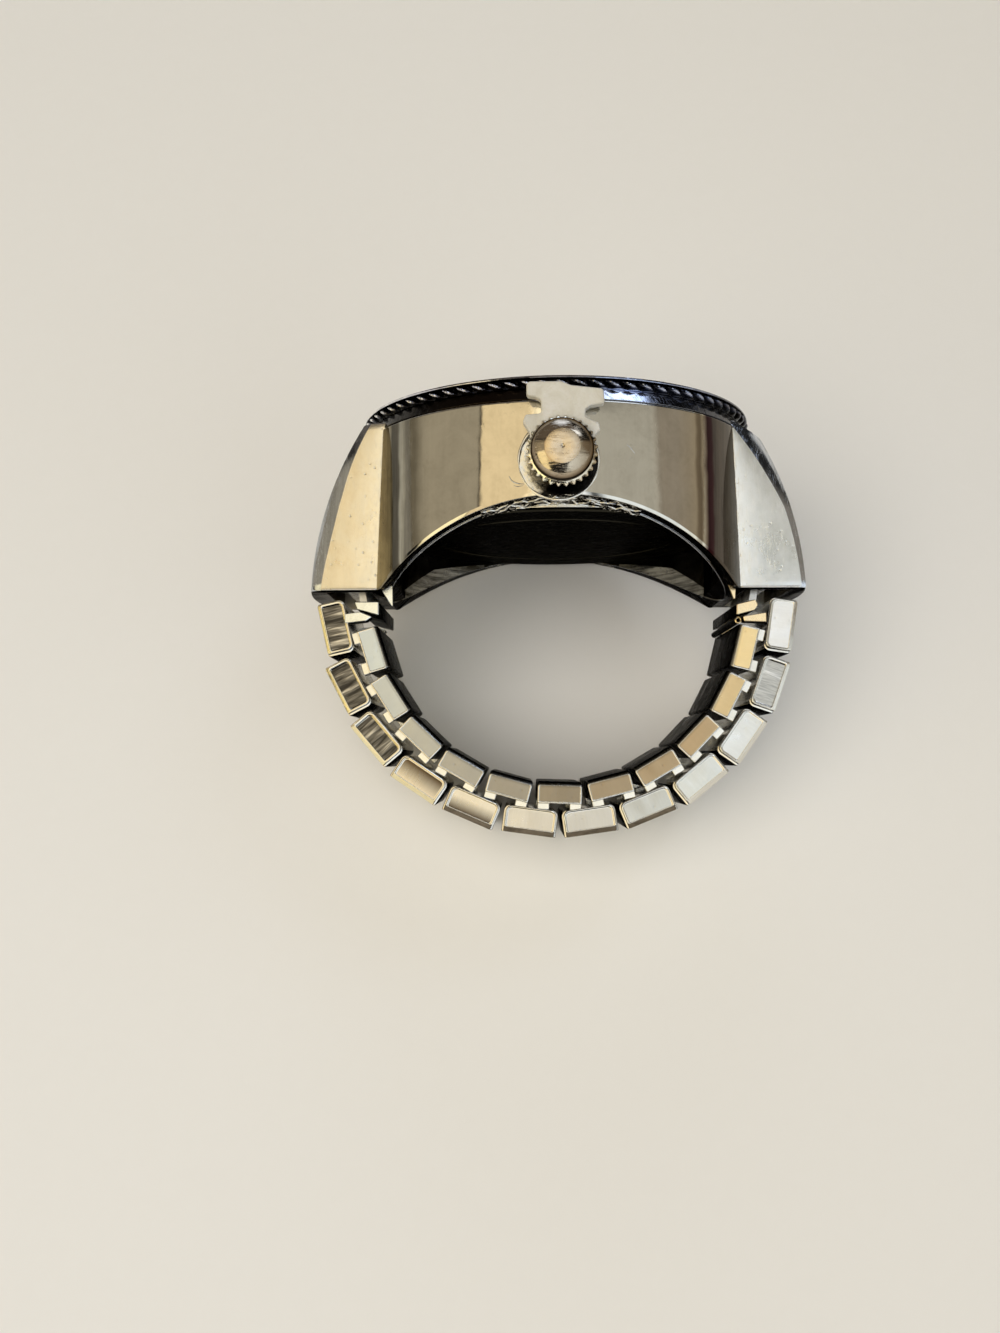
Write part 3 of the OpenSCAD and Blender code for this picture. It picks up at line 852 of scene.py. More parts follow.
def temporary(shape, name="tool"):
    """A shape as an object that a boolean works on."""
    return in_scene(name, finish_mesh(shape, name, 35))


def boolean(target, tool, operation):
    """Cuts or joins tool into target for good, and removes tool."""
    modifier = target.modifiers.new("cut", "BOOLEAN")
    modifier.operation = operation
    modifier.object = tool
    modifier.solver = "EXACT"
    depsgraph = bpy.context.evaluated_depsgraph_get()
    mesh = bpy.data.meshes.new_from_object(target.evaluated_get(depsgraph))
    target.modifiers.clear()
    target.data = mesh
    bpy.data.objects.remove(tool)


def block(low, high):
    (x0, y0, z0), (x1, y1, z1) = low, high
    outline = [(x0, y0), (x1, y0), (x1, y1), (x0, y1)]
    return Shape().loft([level(outline, z) for z in (z0, z1)])


def rod(radius, y0, y1, x=0.0, z=0.0, steps=72):
    """Round cutter along the finger."""
    outline = [(x + radius * math.cos(a), z + radius * math.sin(a)) for a in turns(steps)]
    return Shape().loft([[(px, y, pz) for px, pz in outline] for y in (y0, y1)])


SEAT_R = 1.93
SEAT_AT = (-0.13, CROWN_Z - 0.2)
SEAT_DEPTH = 0.4
STEM_HOLE_R = 0.34
POCKET_X = (9.95, 12.3)
POCKET_HALF_W = 3.7
POCKET_TOP = 3.1
BAR_X = 11.1
BAR_Z = 2.1
# The cast strip under the top of the arch: half its length, where its ends start to narrow and
# have narrowed, its nearest and furthest distance from the middle of the watch, and its slope
CASTING_HALF_L = 3.9
CASTING_NARROWS = (2.6, 3.5)
CASTING_R = (9.05, 10.3)
CASTING_SLOPE = 0.2
# Angle between faces, in degrees, from which the case has a sharp edge
CASE_SHARP = 30
CASE_METALS = (
    BARREL, FACET, LUG_SIDE, CASTING, DARK_INSIDE, SEAT_FLOOR, COOL_FACET, SHADED_SIDE, FLARE_METAL,
)


def case_metal(middle, normal):
    """Material of a face of the case."""
    x, y, z = middle
    r = math.hypot(x, y)
    outwards = (normal[0] * x + normal[1] * y) / r
    in_seat = math.hypot(x - SEAT_AT[0], z - SEAT_AT[1]) < SEAT_R - 0.02
    if in_seat and abs(y + CASE_R - SEAT_DEPTH) < 0.02:
        return SEAT_FLOOR
    beyond = r > CASE_R - 0.02 or z > CASE_TOP + 0.01
    if abs(normal[1]) > 0.985 and abs(x) > LUG_ROOT_X and beyond:
        return FACET if x < 0 else COOL_FACET
    if r > CASE_R + 0.05 and normal[2] > -0.6:
        return SHADED_SIDE if abs(normal[1]) < 0.4 else LUG_SIDE
    if z > CASE_TOP + 0.01:
        return LUG_SIDE
    if SKIRT_R - 0.01 < r < SKIRT_R + LIP_W + 0.02 and outwards > -0.5 and z < arch_z(x) + 0.05:
        return LUG_SIDE
    # Undersides and the skirt's inside take the cast strip or the metal painted near-black as shade
    if r < CASE_R - 0.05 and normal[2] < -0.3:
        return CASTING if abs(x) < CASTING_HALF_L and r > SKIRT_R else DARK_INSIDE
    if r < SKIRT_R + 0.02 and y > 0 and -0.3 < normal[2] < -0.12:
        return FLARE_METAL
    return DARK_INSIDE if r < SKIRT_R + 0.04 or normal[2] < -0.9 else BARREL


def make_case():
    """The wall with both lugs joined on, then the pockets, the crown's seat and the stem's hole cut."""
    case = temporary(case_wall(), "case_body")
    for side in (1, -1):
        tool = temporary(lug(side))
        arch = rod(ARCH_R, -CASE_R, CASE_R, z=ARCH_TOP - ARCH_R, steps=480)
        for cutter in (arch, lug_top_cut(side)):
            boolean(tool, temporary(cutter), "DIFFERENCE")
        boolean(case, tool, "UNION")
        xs = sorted((side * POCKET_X[0], side * POCKET_X[1]))
        pocket = block((xs[0], -POCKET_HALF_W, LUG_LOW - 1), (xs[1], POCKET_HALF_W, POCKET_TOP))
        boolean(case, temporary(pocket), "DIFFERENCE")
    seat = rod(SEAT_R, -CASE_R - 1, -CASE_R + SEAT_DEPTH, *SEAT_AT)
    hole = rod(STEM_HOLE_R, -CASE_R - 1, -CAVITY_R + 1, z=CROWN_Z, steps=32)
    for cutter in (seat, hole):
        boolean(case, temporary(cutter), "DIFFERENCE")
    mesh = case.data
    set_grain(mesh)
    shade(mesh, CASE_SHARP)
    for material in CASE_METALS:
        mesh.materials.append(material)
    paint_faces(mesh, case_metal)
    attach(case, "watch")
    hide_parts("case")


def set_grain(mesh):
    """New grain coordinates for the cut case: unrolled round the watch, in mm."""
    x, y, z = in_watch([v.co for v in mesh.vertices]).T
    set_vectors(mesh, "grain", np.stack([np.arctan2(x, -y) * CASE_R, np.hypot(x, y), z], 1))


def on_round(x, z, r):
    """The point over x on the crown's side of a cylinder of radius r round the watch."""
    return x, -math.sqrt(r ** 2 - x ** 2), z


def seat_lip():
    """Raised burr round the edge of the crown's seat."""
    rings = []
    outwards = np.array((0.0, -1.0, 0.0))
    for a in turns(96):
        thick = 0.055 + 0.022 * math.sin(3 * a + 0.7) + 0.014 * math.sin(11 * a)
        spoke = np.array((math.cos(a), 0.0, math.sin(a)))
        middle = on_round(SEAT_AT[0] + SEAT_R * spoke[0], SEAT_AT[1] + SEAT_R * spoke[2], CASE_R)
        rings.append([middle + thick * (math.cos(t) * spoke + math.sin(t) * outwards) for t in turns(8)])
    shape = Shape().loft(rings, wrap=True)
    make_piece(shape, "crown_seat_lip", [], [THREAD], 60)


def tube(shape, points, radius):
    """A thin thread through points, thinner at its ends."""
    points = np.array(points, float)
    rings = []
    for i, point in enumerate(points):
        ahead = points[min(i + 1, len(points) - 1)] - points[max(i - 1, 0)]
        ahead /= np.linalg.norm(ahead)
        side = np.cross(ahead, (0.3, 0.2, 0.93))
        side /= np.linalg.norm(side)
        up = np.cross(side, ahead)
        thick = radius * min(1.0, 0.35 + min(i, len(points) - 1 - i) * 0.3)
        rings.append([point + thick * (math.cos(a) * side + math.sin(a) * up) for a in turns(6)])
    shape.loft(rings)


# Burred edges of the lugs' front faces, along the bottom and up beside the case: thickness, and
# the x, y and z of a few points
LUG_EDGES = [
    (0.045, [(-9.54, -4.39, 1.22), (-12.45, -4.39, 1.22)]),
    (0.022, [(-9.54, -4.36, 1.25), (-9.33, -4.81, 5.7), (-9.14, -5.17, 9.4)]),
    (0.045, [(9.54, -4.39, 1.22), (12.7, -4.39, 1.22)]),
    (0.022, [(9.54, -4.36, 1.25), (9.35, -4.78, 5.36), (9.14, -5.17, 9.4)]),
]


def lug_edges():
    """The burrs along those edges as one piece."""
    shape = Shape()
    for radius, marks in LUG_EDGES:
        share = np.linspace(0, len(marks) - 1, 60)
        tube(shape, np.stack([np.interp(share, range(len(marks)), part) for part in zip(*marks)], 1), radius)
    make_piece(shape, "lug_edge_burrs", [], [THREAD], 60)


def casting_z(x, r):
    """Height of the cast strip over x, at distance r from the middle of the watch."""
    return arch_z(x) - 0.01 - CASTING_SLOPE * (CASTING_R[1] - r)


def casting_strip():
    """Rough strip under the top of the arch, behind the crown, that slopes down inwards."""
    rings = []
    for x in np.linspace(-CASTING_HALF_L, CASTING_HALF_L, 79):
        inner = float(np.interp(abs(x), CASTING_NARROWS, (CASTING_R[0], SKIRT_R + 0.02)))
        radii = np.linspace(CASTING_R[1], inner, 6)
        section = [(r, casting_z(x, r)) for r in radii]
        section += [(inner, arch_z(x) + 0.04), (CASTING_R[1], arch_z(x) + 0.04)]
        rings.append([on_round(x, z, r) for r, z in section])
    shape = Shape().loft(rings)
    make_piece(shape, "arch_casting", [], [CASTING], 60)


# Start and end in x, distance from the middle, swing, pace and phase of each casting line
CASTING_LINES = [
    (-3.9, -2.5, 9.95, 0.14, 4.6, 0.4), (-3.1, -1.5, 9.6, 0.2, 5.4, 2.0), (-2.4, -0.9, 9.98, 0.12, 6.0, 1.1),
    (-1.3, 0.2, 9.55, 0.2, 5.0, 0.2), (-0.5, 0.8, 9.95, 0.14, 5.6, 3.0), (0.5, 2.1, 9.6, 0.2, 5.2, 0.0),
    (1.2, 2.6, 9.97, 0.12, 4.8, 1.6), (2.3, 3.7, 9.65, 0.16, 5.8, 2.4), (2.7, 3.9, 9.98, 0.12, 5.0, 0.7),
    (-2.2, -0.4, 9.25, 0.06, 5.5, 0.9), (0.0, 1.9, 9.25, 0.06, 6.1, 2.2),
]


def casting_lines():
    """Raised wandering lines on that strip."""
    shape = Shape()
    for start, end, middle, swing, pace, phase in CASTING_LINES:
        points = []
        for x in np.arange(start, end, 0.07):
            r = middle + swing * math.sin(pace * x + phase) + 0.35 * swing * math.sin(2.7 * pace * x)
            points.append(on_round(x, casting_z(x, r) - 0.015, r))
        tube(shape, points, 0.055)
    make_piece(shape, "arch_casting_lines", [], [THREAD], 60)


# Burr beside the seat and scratches on the barrel, as x and z of their points, and their thickness
BARREL_MARKS = [
    ([(-2.52, 5.9), (-2.42, 5.7), (-2.28, 5.58), (-2.05, 5.5), (-1.8, 5.47)], 0.04),
    ([(-2.3, 5.42), (-2.1, 5.36), (-1.85, 5.4)], 0.03),
    ([(3.2, 7.45), (3.42, 7.25), (3.58, 7.02)], 0.018),
    ([(3.35, 7.5), (3.5, 7.32)], 0.014),
    ([(3.3, 6.7), (3.46, 6.86)], 0.012),
    ([(1.9, 4.72), (2.1, 4.6), (2.34, 4.52), (2.6, 4.5)], 0.03),
]


def barrel_marks():
    """Those marks as thin threads on the barrel."""
    shape = Shape()
    for places, radius in BARREL_MARKS:
        tube(shape, [on_round(x, z, CASE_R + 0.005) for x, z in places], radius)
    make_piece(shape, "barrel_marks", [], [LUG_SIDE], 60)


def make_back():
    """Back plate with a ring groove, a step near its edge and a thin bright rim, painted as a highlight on a plate
    painted dark as shade.
    """
    low, high, r = BACK_LOW[2], BACK_HIGH[2], BACK_HIGH[0]
    rim_low, rim_high = low + 0.11, low + 0.28
    shape = Shape().lathe([
        (0.0, low), (6.4, low), (6.46, low + 0.06), (6.62, low + 0.06), (6.68, low), (r - 0.5, low),
        (r - 0.42, low + 0.08), (r - 0.08, low + 0.09), (r, rim_low), (r, rim_high),
        (r - 0.04, rim_high + 0.02), (r - 0.04, high), (0.0, high),
    ], 192)

    def pick(middle, normal):
        on_rim = math.hypot(middle[0], middle[1]) > r - 0.03 and rim_low < middle[2] < rim_high
        return CLIP_METAL if on_rim else BACK_METAL

    make_piece(shape, "back_plate", ["case_back"], [BACK_METAL, CLIP_METAL], 30, pick)


# Bezel, crystal, dial and hands

ROPE_TEETH = 78
ROPE_SAMPLES = 14
ROPE_TURN = 2 * math.pi * 0.8
BEZEL_BAND_R = (10.45, 10.3)
BEZEL_HOLE_R = 8.2


def make_bezel():
    """Dark coned band, a rope edge of slanted teeth and a thin bright lip above it."""
    low, high, r = BEZEL_LOW[2], BEZEL_HIGH[2], BEZEL_HIGH[0]
    band_low_r, band_high_r = BEZEL_BAND_R
    rope_low, rope_high = high - 0.58, high - 0.15
    inner_r, seat = CRYSTAL_R + 0.04, CRYSTAL_LOW[2] - 0.03
    band = [
        (BEZEL_HOLE_R, low), (band_low_r - 0.03, low), (band_low_r, low + 0.03),
        (band_high_r, rope_low - 0.03), (band_high_r - 0.06, rope_low),
    ]
    rope = []
    for t in np.linspace(0.06, 0.94, 9):
        swell = math.sin(math.pi * t) ** 0.6
        rope.append((band_high_r + (r - band_high_r) * swell, rope_low + (rope_high - rope_low) * t))
    lip = [
        (r - 0.24, rope_high), (r - 0.08, rope_high + 0.02), (r - 0.06, rope_high + 0.05),
        (r - 0.09, high - 0.03), (r - 0.15, high), (inner_r + 0.5, high), (inner_r + 0.06, high - 0.05),
        (inner_r, high - 0.12), (inner_r, seat), (BEZEL_HOLE_R, seat),
    ]

    def radius_at(a, points):
        radii = points[:, 0].copy()
        for i in range(len(rope)):
            phase = ROPE_TEETH * a + ROPE_TURN * i / (len(rope) - 1)
            strand = (0.5 + 0.5 * math.cos(phase)) ** 0.8
            core = band_high_r - 0.02
            radii[len(band) + i] = core + (radii[len(band) + i] - core) * (0.2 + 0.8 * strand)
        return radii

    shape = Shape().lathe(band + rope + lip, ROPE_TEETH * ROPE_SAMPLES, radius_at=radius_at)

    def pick(middle, normal):
        from_middle = math.hypot(middle[0], middle[1])
        if from_middle < inner_r + 0.02:
            return BEZEL_INSIDE
        if middle[2] > high - 0.06 and from_middle < r - 0.1:
            return BEZEL_TOP
        return BAND_METAL if middle[2] < rope_low + 0.02 else ROPE_METAL

    materials = [ROPE_METAL, BEZEL_INSIDE, BAND_METAL, BEZEL_TOP]
    make_piece(shape, "bezel_ring", ["bezel"], materials, 40, pick)


def make_crystal():
    """Flat glass, a little domed."""
    low, high, r = CRYSTAL_LOW[2], CRYSTAL_HIGH[2], CRYSTAL_R
    dome = [(r * math.cos(t), high - 0.08 + 0.13 * math.sin(t)) for t in np.linspace(0.25, math.pi / 2, 14)]
    shape = Shape().lathe([(0.0, low), (r - 0.03, low), (r, low + 0.03), (r, high - 0.1), *dome], 160)
    make_piece(shape, "crystal_glass_disc", ["crystal"], [GLASS], 25)


def on_dial(points, hour_angle):
    """Turns points drawn with twelve along +y to an angle clockwise from twelve."""
    a = math.radians(-90 - hour_angle)
    points = np.asarray(points, float)
    x = points[:, 0] * math.cos(a) - points[:, 1] * math.sin(a)
    y = points[:, 0] * math.sin(a) + points[:, 1] * math.cos(a)
    return np.stack([x, y, points[:, 2]], 1)


DIAL_BORE = 0.45
# Fine groove inside the minute track
DIAL_GROOVE = (7.2, 7.26, 7.3)


def make_dial():
    """Plate with a bore for the hands and a groove inside the minute track."""
    low, high, r = DIAL_LOW[2], DIAL_HIGH[2], DIAL_HIGH[0]
    inside, deepest, outside = DIAL_GROOVE
    shape = Shape().lathe([
        (DIAL_BORE, low), (r - 0.02, low), (r, low + 0.02), (r, high - 0.04), (r - 0.04, high),
        (outside, high), (deepest, high - 0.02), (inside, high), (DIAL_BORE, high),
    ], 160)
    make_piece(shape, "dial_plate", ["dial"], [DIAL_PAINT], 25)


MARKER_R = 6.5
NUMBER_R = 5.1
NUMBER_SIZE = 1.75
NUMBER_HALF_T = 0.02
TRACK_R = (7.55, 7.95)


def make_markers():
    """Bars at the hours, ticks at the minutes and plain numbers."""
    shape = Shape()
    high = DIAL_HIGH[2]
    for minute in range(60):
        half_w = 0.035 if minute % 5 else 0.07
        bar = [(-half_w, TRACK_R[0]), (half_w, TRACK_R[0]), (half_w, TRACK_R[1]), (-half_w, TRACK_R[1])]
        rings = [level(bar, high), level(bar, high + 0.015)]
        shape.loft(rings, place=lambda p: on_dial(p, minute * 6))
    for hour in range(1, 13):
        half_w = 0.15 if hour % 3 else 0.24
        bar = bar_outline(half_w, MARKER_R - 0.5, MARKER_R + 0.5, 0.04, 0.04, 2)
        rings = [level(bar, high), level(bar, high + 0.05), level(shrunk(bar, 0.04), high + 0.08)]
        shape.loft(rings, place=lambda p: on_dial(p, hour * 30))
    make_piece(shape, "hour_bars", ["hour_markers"], [INK], 25)
    make_numbers(high)


def make_numbers(high):
    """The numbers 1 to 12 as one mesh, upright on the dial."""
    points, faces = [], []
    for hour in range(1, 13):
        curve = bpy.data.curves.new("number", "FONT")
        curve.body = str(hour)
        curve.size = NUMBER_SIZE
        curve.align_x = "CENTER"
        curve.align_y = "CENTER"
        curve.extrude = NUMBER_HALF_T
        curve.resolution_u = 4
        writer = bpy.data.objects.new("number", curve)
        mesh = bpy.data.meshes.new_from_object(writer)
        local = np.array([v.co for v in mesh.vertices], float)
        a = math.radians(hour * 30)
        local[:, 0] += NUMBER_R * math.sin(a)
        local[:, 1] += NUMBER_R * math.cos(a)
        local[:, 2] += high + NUMBER_HALF_T
        start = len(points)
        points += on_dial(local, 0).tolist()
        faces += [tuple(start + i for i in face.vertices) for face in mesh.polygons]
        bpy.data.objects.remove(writer)
        bpy.data.meshes.remove(mesh)
        bpy.data.curves.remove(curve)
    shape = Shape()
    shape.add(points, faces)
    make_piece(shape, "dial_numbers", [], [INK], 25)


HAND_BORE = 0.31
HAND_TIP_L = 0.2
# Width of a hand's ridge, as a share of its own
RIDGE = 0.15


def make_hand(node, name, angle, material, root_w, tip_w, hub_r, tail):
    """A hand with a ridge along its middle and a domed hub with a bore."""
    low, high = node_box(node)
    x, y, _ = node_points(node).T
    length = np.hypot(x, y).max() - 0.03
    z0, z1 = low[2], high[2]
    shape = Shape()
    root, start = root_w / 2, hub_r * 0.75
    tip = [(tip_w / 2, length - HAND_TIP_L), (0.0, length), (-tip_w / 2, length - HAND_TIP_L)]
    blade = [(-root, start), (root, start), *tip]
    back = [(-root, -start), (-root * 0.8, -tail), (root * 0.8, -tail), (root, -start)]
    for outline in (blade, back):
        outline = np.array(outline)
        ridge = outline * np.array((RIDGE, 1.0))
        rings = [level(outline, z0), level(outline, (z0 + z1) / 2), level(ridge, z1)]
        shape.loft(rings, place=lambda p: on_dial(p, angle))
    hub = [(HAND_BORE, z0), (hub_r, z0), (hub_r, z1 - 0.03), (hub_r - 0.05, z1), (HAND_BORE, z1)]
    shape.lathe(hub, 48)
    make_piece(shape, name, [node], [material], 30, body=node)


def make_hands():
    make_hand("hour_hand", "hour_pointer", 305, HAND_BLACK, 0.62, 0.34, 0.72, 1.05)
    make_hand("minute_hand", "minute_pointer", 60, HAND_BLACK, 0.52, 0.26, 0.62, 1.05)
    make_hand("second_hand", "second_pointer", 180, HAND_RED, 0.2, 0.12, 0.47, 1.75)


# Crown and stopper

CROWN_TEETH = 28
CROWN_SAMPLES = 12
TOOTH_DEPTH = 0.14
STEM_R = 0.3


def on_crown(points):
    """Turns a lathed shape from z to lie along the finger, its zero at the crown's front."""
    points = np.asarray(points, float)
    return np.stack([points[:, 0], CROWN_FRONT + points[:, 2], CROWN_Z + points[:, 1]], 1)


def make_crown():
    """Flat front with a pit, a dome, the knurl behind it and the stem, as radius and depth."""
    end = CROWN_HIGH[1] - CROWN_FRONT
    knurl_r = CROWN_R + 0.04
    profile = [
        (0.0, 0.045), (0.04, 0.04), (0.08, 0.006), (0.12, 0.0), (0.5, 0.003), (0.8, 0.0), (0.84, 0.012),
        (0.9, 0.04), (1.0, 0.1), (1.12, 0.17), (1.24, 0.26), (1.34, 0.36), (1.42, 0.46), (1.47, 0.55),
        (1.485, 0.6), (1.48, 0.63), (1.45, 0.64), (1.45, 0.8), (1.5, 0.86), (1.58, 0.9), (1.65, 0.96),
        (knurl_r, 1.05), (knurl_r, 1.18), (knurl_r - 0.03, 1.23), (knurl_r - 0.12, 1.25),
        (STEM_R + 0.1, 1.25), (STEM_R, 1.3), (STEM_R, end - 0.05), (STEM_R - 0.05, end), (0.0, end),
    ]
    # How deep the teeth cut at points of the profile
    toothed = {19: 0.15, 20: 0.8, 21: 1.1, 22: 1.1, 23: 0.7}

    def radius_at(a, points):
        radii = points[:, 0].copy()
        valley = (0.5 + 0.5 * math.cos(CROWN_TEETH * a)) ** 1.3
        for i, share in toothed.items():
            radii[i] -= TOOTH_DEPTH * share * valley
        return radii

    shape = Shape().lathe(profile, CROWN_TEETH * CROWN_SAMPLES, on_crown, radius_at)

    def pick(middle, normal):
        if middle[1] < CROWN_FRONT + 0.02:
            return CROWN_DISC
        # The knurl's back and the stem take the dark inside metal: painted shade inside the seat
        return DARK_INSIDE if middle[1] > CROWN_FRONT + 1.2 else CROWN_METAL

    materials = [CROWN_METAL, CROWN_DISC, DARK_INSIDE]
    make_piece(shape, "crown_knob", ["crown"], materials, 32, pick, "crown")


def stopper_outline():
    """Seen from the front: a grip bar, a waisted neck and a fork that clasps the stem."""
    slot = 0.35
    low = STOPPER_LOW[2]
    left = [
        (-slot, low, 0.1), (-1.3, low, 0.3), (-1.62, 6.9, 0.3), (-1.5, 7.75, 0.2), (-1.84, 8.3, 0.14),
        (-1.72, 8.64, 0.1), (-0.96, 8.7, 0.14), (-0.97, 9.36, 0.14), (-1.25, 9.5, 0.15), (-1.66, 9.55, 0.2),
        (-1.66, 10.25, 0.2),
    ]
    right = [
        (0.0, 10.25, 0.1), (0.45, 10.06, 0.2), (2.0, 9.88, 0.16), (2.07, 9.16, 0.14), (1.4, 9.06, 0.1),
        (1.16, 8.9, 0.1), (1.12, 8.5, 0.12), (1.78, 8.22, 0.14), (1.84, 7.86, 0.12), (1.55, 7.6, 0.15),
        (1.62, 6.9, 0.3), (1.3, low, 0.3), (slot, low, 0.1),
    ]
    fork = [(x, CROWN_Z + up, 0.1) for x, up in ((slot, 0.1), (0.2, 0.34), (-0.2, 0.34), (-slot, 0.1))]
    return rounded(left + right + fork, 4)


def make_stopper():
    front, back = STOPPER_LOW[1], STOPPER_HIGH[1]
    stations = [(back, 0.05), (back - 0.05, 0.0), (front + 0.08, 0.0), (front + 0.025, 0.02), (front, 0.06)]
    shape = Shape().loft(along_y(stopper_outline(), stations))
    make_piece(shape, "stopper_clip", ["crown_stopper"], [PLASTIC], 40)


# Band

def band_axes(a):
    """Axes of a link at angle a from the lowest point: round the band, along the finger, towards it."""
    return np.array([(math.cos(a), 0, math.sin(a)), (0, 1, 0), (-math.sin(a), 0, math.cos(a))])


# How much further each link leans than in CAD, in degrees, how far it stands out, in mm, and how
# far the links halfway up have slipped along the band
OUTER_LEAN = {1: 9, 2: 8, 3: 5, 4: 5, 8: -1.5, 12: -5}
INNER_LEAN = {1: 5.5, 2: 5, 3: 3, 4: 1, 6: -2, 7: -1.5, 8: -1, 9: -1, 11: -2.5}
OUTER_OUT = {1: 0.05}
BAND_DRIFT = 0.13

# Painted light, shade and reflected colour of the end faces round the band, at angles from its lowest point
OUTER_TINT = [
    (-86, (0.86, 0.82, 0.72)), (-39, (0.75, 0.7, 0.62)), (-23, (0.8, 0.74, 0.64)), (8, (0.66, 0.64, 0.6)),
    (24, (0.64, 0.65, 0.63)), (39, (0.78, 0.8, 0.78)), (86, WHITE),
]
INNER_TINT = [
    (-79, (0.66, 0.73, 0.8)), (-47, (0.5, 0.5, 0.48)), (0, (0.33, 0.28, 0.21)), (47, (0.54, 0.4, 0.24)),
    (79, (1.0, 0.78, 0.42)),
]


def tint_at(stops, degrees):
    """Colour at an angle, between the stops on its two sides."""
    places, colours = zip(*stops)
    return tuple(float(np.interp(degrees, places, part)) for part in zip(*colours))


def link_place(node):
    """How a link lies: a function that puts local points in the watch's frame, its half sizes and angle.

    Local x runs round the band, y along the finger and z towards the finger.
    """
    outer, number = node.startswith("outer"), int(node[-2:])
    points = node_points(node)
    mean = points.mean(0)
    a = math.atan2(mean[0], -mean[2])
    axes = band_axes(a)
    local = points @ axes.T
    middle = (points.min(0) + points.max(0)) / 2 + axes[0] * BAND_DRIFT * math.sin(2 * a)
    if outer:
        middle -= axes[2] * OUTER_OUT.get(number, 0)
    leaning = band_axes(a + math.radians((OUTER_LEAN if outer else INNER_LEAN).get(number, 0)))

    def place(p):
        return np.asarray(p, float) @ leaning + middle

    return place, (local.max(0) - local.min(0)) / 2, math.degrees(a)


def mirrored_rings(near, half_w):
    """Rings from (depth, outline) pairs at the near end, and the same at the far end."""
    first = [[(x, -half_w + depth, z) for x, z in outline] for depth, outline in near]
    last = [[(x, half_w - depth, z) for x, z in outline] for depth, outline in reversed(near)]
    return first + last


# Outer link's slanted strip: its width and depth beside the lugs and at the bottom
STRIP_W = (0.2, 0.3)
STRIP_D = (0.14, 0.3)
# Border of an end face with or without a recess, corner radii away from and towards the finger,
# and the end cap, shorter than the shell behind it
BORDER = {True: 0.16, False: 0.12}
OUTER_CORNER = (0.08, 0.33)
CAP_SHORT = 0.1
CAP_D = 0.42


def outer_link_rings(half, sink, border, strip_w, strip_d):
    """End face inside a border, a slanted strip along the outer edge, and the shell behind the cap."""
    half_l, half_w, half_t = half
    cap_l = half_l - CAP_SHORT
    out_r, in_r = OUTER_CORNER

    def ring(depth, inset, strip, length=cap_l):
        z_out = -half_t + strip + inset * (0.3 if strip > 0.1 else 1)
        return depth, bar_outline(length - inset, z_out, half_t - inset, out_r, max(0.06, in_r - inset), 4)

    near = [
        ring(sink, border + 0.03, strip_w), ring(sink * 0.9, border + 0.01, strip_w),
        ring(0.015, border - 0.02, strip_w), ring(0.0, border - 0.05, strip_w),
        ring(0.0, 0.04, strip_w), ring(0.02, 0.01, strip_w), ring(0.04, 0.0, strip_w - 0.03),
        ring(strip_d, 0.0, 0.03), ring(strip_d + 0.05, 0.0, 0.01), ring(CAP_D, 0.0, 0.01),
        ring(CAP_D + 0.02, 0.06, 0.0), ring(CAP_D + 0.07, 0.06, 0.0),
        ring(CAP_D + 0.09, 0.02, 0.0, half_l), ring(CAP_D + 0.13, 0.0, 0.0, half_l),
    ]
    return mirrored_rings(near, half_w)


# How far each side of an inner link lies outside its CAD, its rounding towards the finger, its lip
INNER_EXTRA = 0.05
INNER_FILLET = 0.32
INNER_LIP = 0.07


def inner_link_rings(half):
    """End face with a thin lip on three sides that rounds over towards the finger."""
    half_l, half_w, half_t = half
    half_t += INNER_EXTRA

    def ring(depth, inset, round_depth):
        fall = INNER_FILLET - math.sqrt(max(0.0, INNER_FILLET ** 2 - (INNER_FILLET - round_depth) ** 2))
        return depth, bar_outline(half_l - inset, -half_t + inset, half_t - fall, 0.07, 0.1, 4)

    near = [
        ring(0.03, INNER_LIP + 0.03, 0.012), ring(0.025, INNER_LIP + 0.01, 0.014),
        ring(0.005, INNER_LIP - 0.01, 0.016), ring(0.005, 0.03, 0.018), ring(0.015, 0.008, 0.03),
        *[ring(depth, 0.0, depth) for depth in (0.05, 0.1, 0.17, 0.24, 0.32)],
    ]
    return mirrored_rings(near, half_w)


# Moves the grain of one link against the next, so that no two look the same
GRAIN_SHIFT = 3.7
# Depth of the recess in the ends of some outer links
RECESSED = {"outer_link_01": 0.16, "outer_link_02": 0.16, "outer_link_03": 0.14, "outer_link_11": 0.12}


def end_material(node, degrees):
    """Material of an outer link's end face: a recess painted dark on the left and pale on the right as shade and
    light, or a face with painted shade across it.
    """
    if node in RECESSED:
        return LINK_RECESS if degrees < 0 else PALE_RECESS
    shaded = {"outer_link_04": INWARD_SHADED_FACE, "outer_link_05": SHADED_FACE}
    return shaded.get(node, LINK_FACE)


def strip_material(degrees):
    """Material of the slanted strip, by the link's angle from the lowest point: a painted yellow reflection on the
    left, painted shade at the bottom.
    """
    if degrees < -30:
        return STRIP_YELLOW
    return STRIP_DARK if degrees < 30 else LINK_SHELL


def between(pair, share):
    """The value a share of the way from one of a pair to the other."""
    return pair[0] + (pair[1] - pair[0]) * share


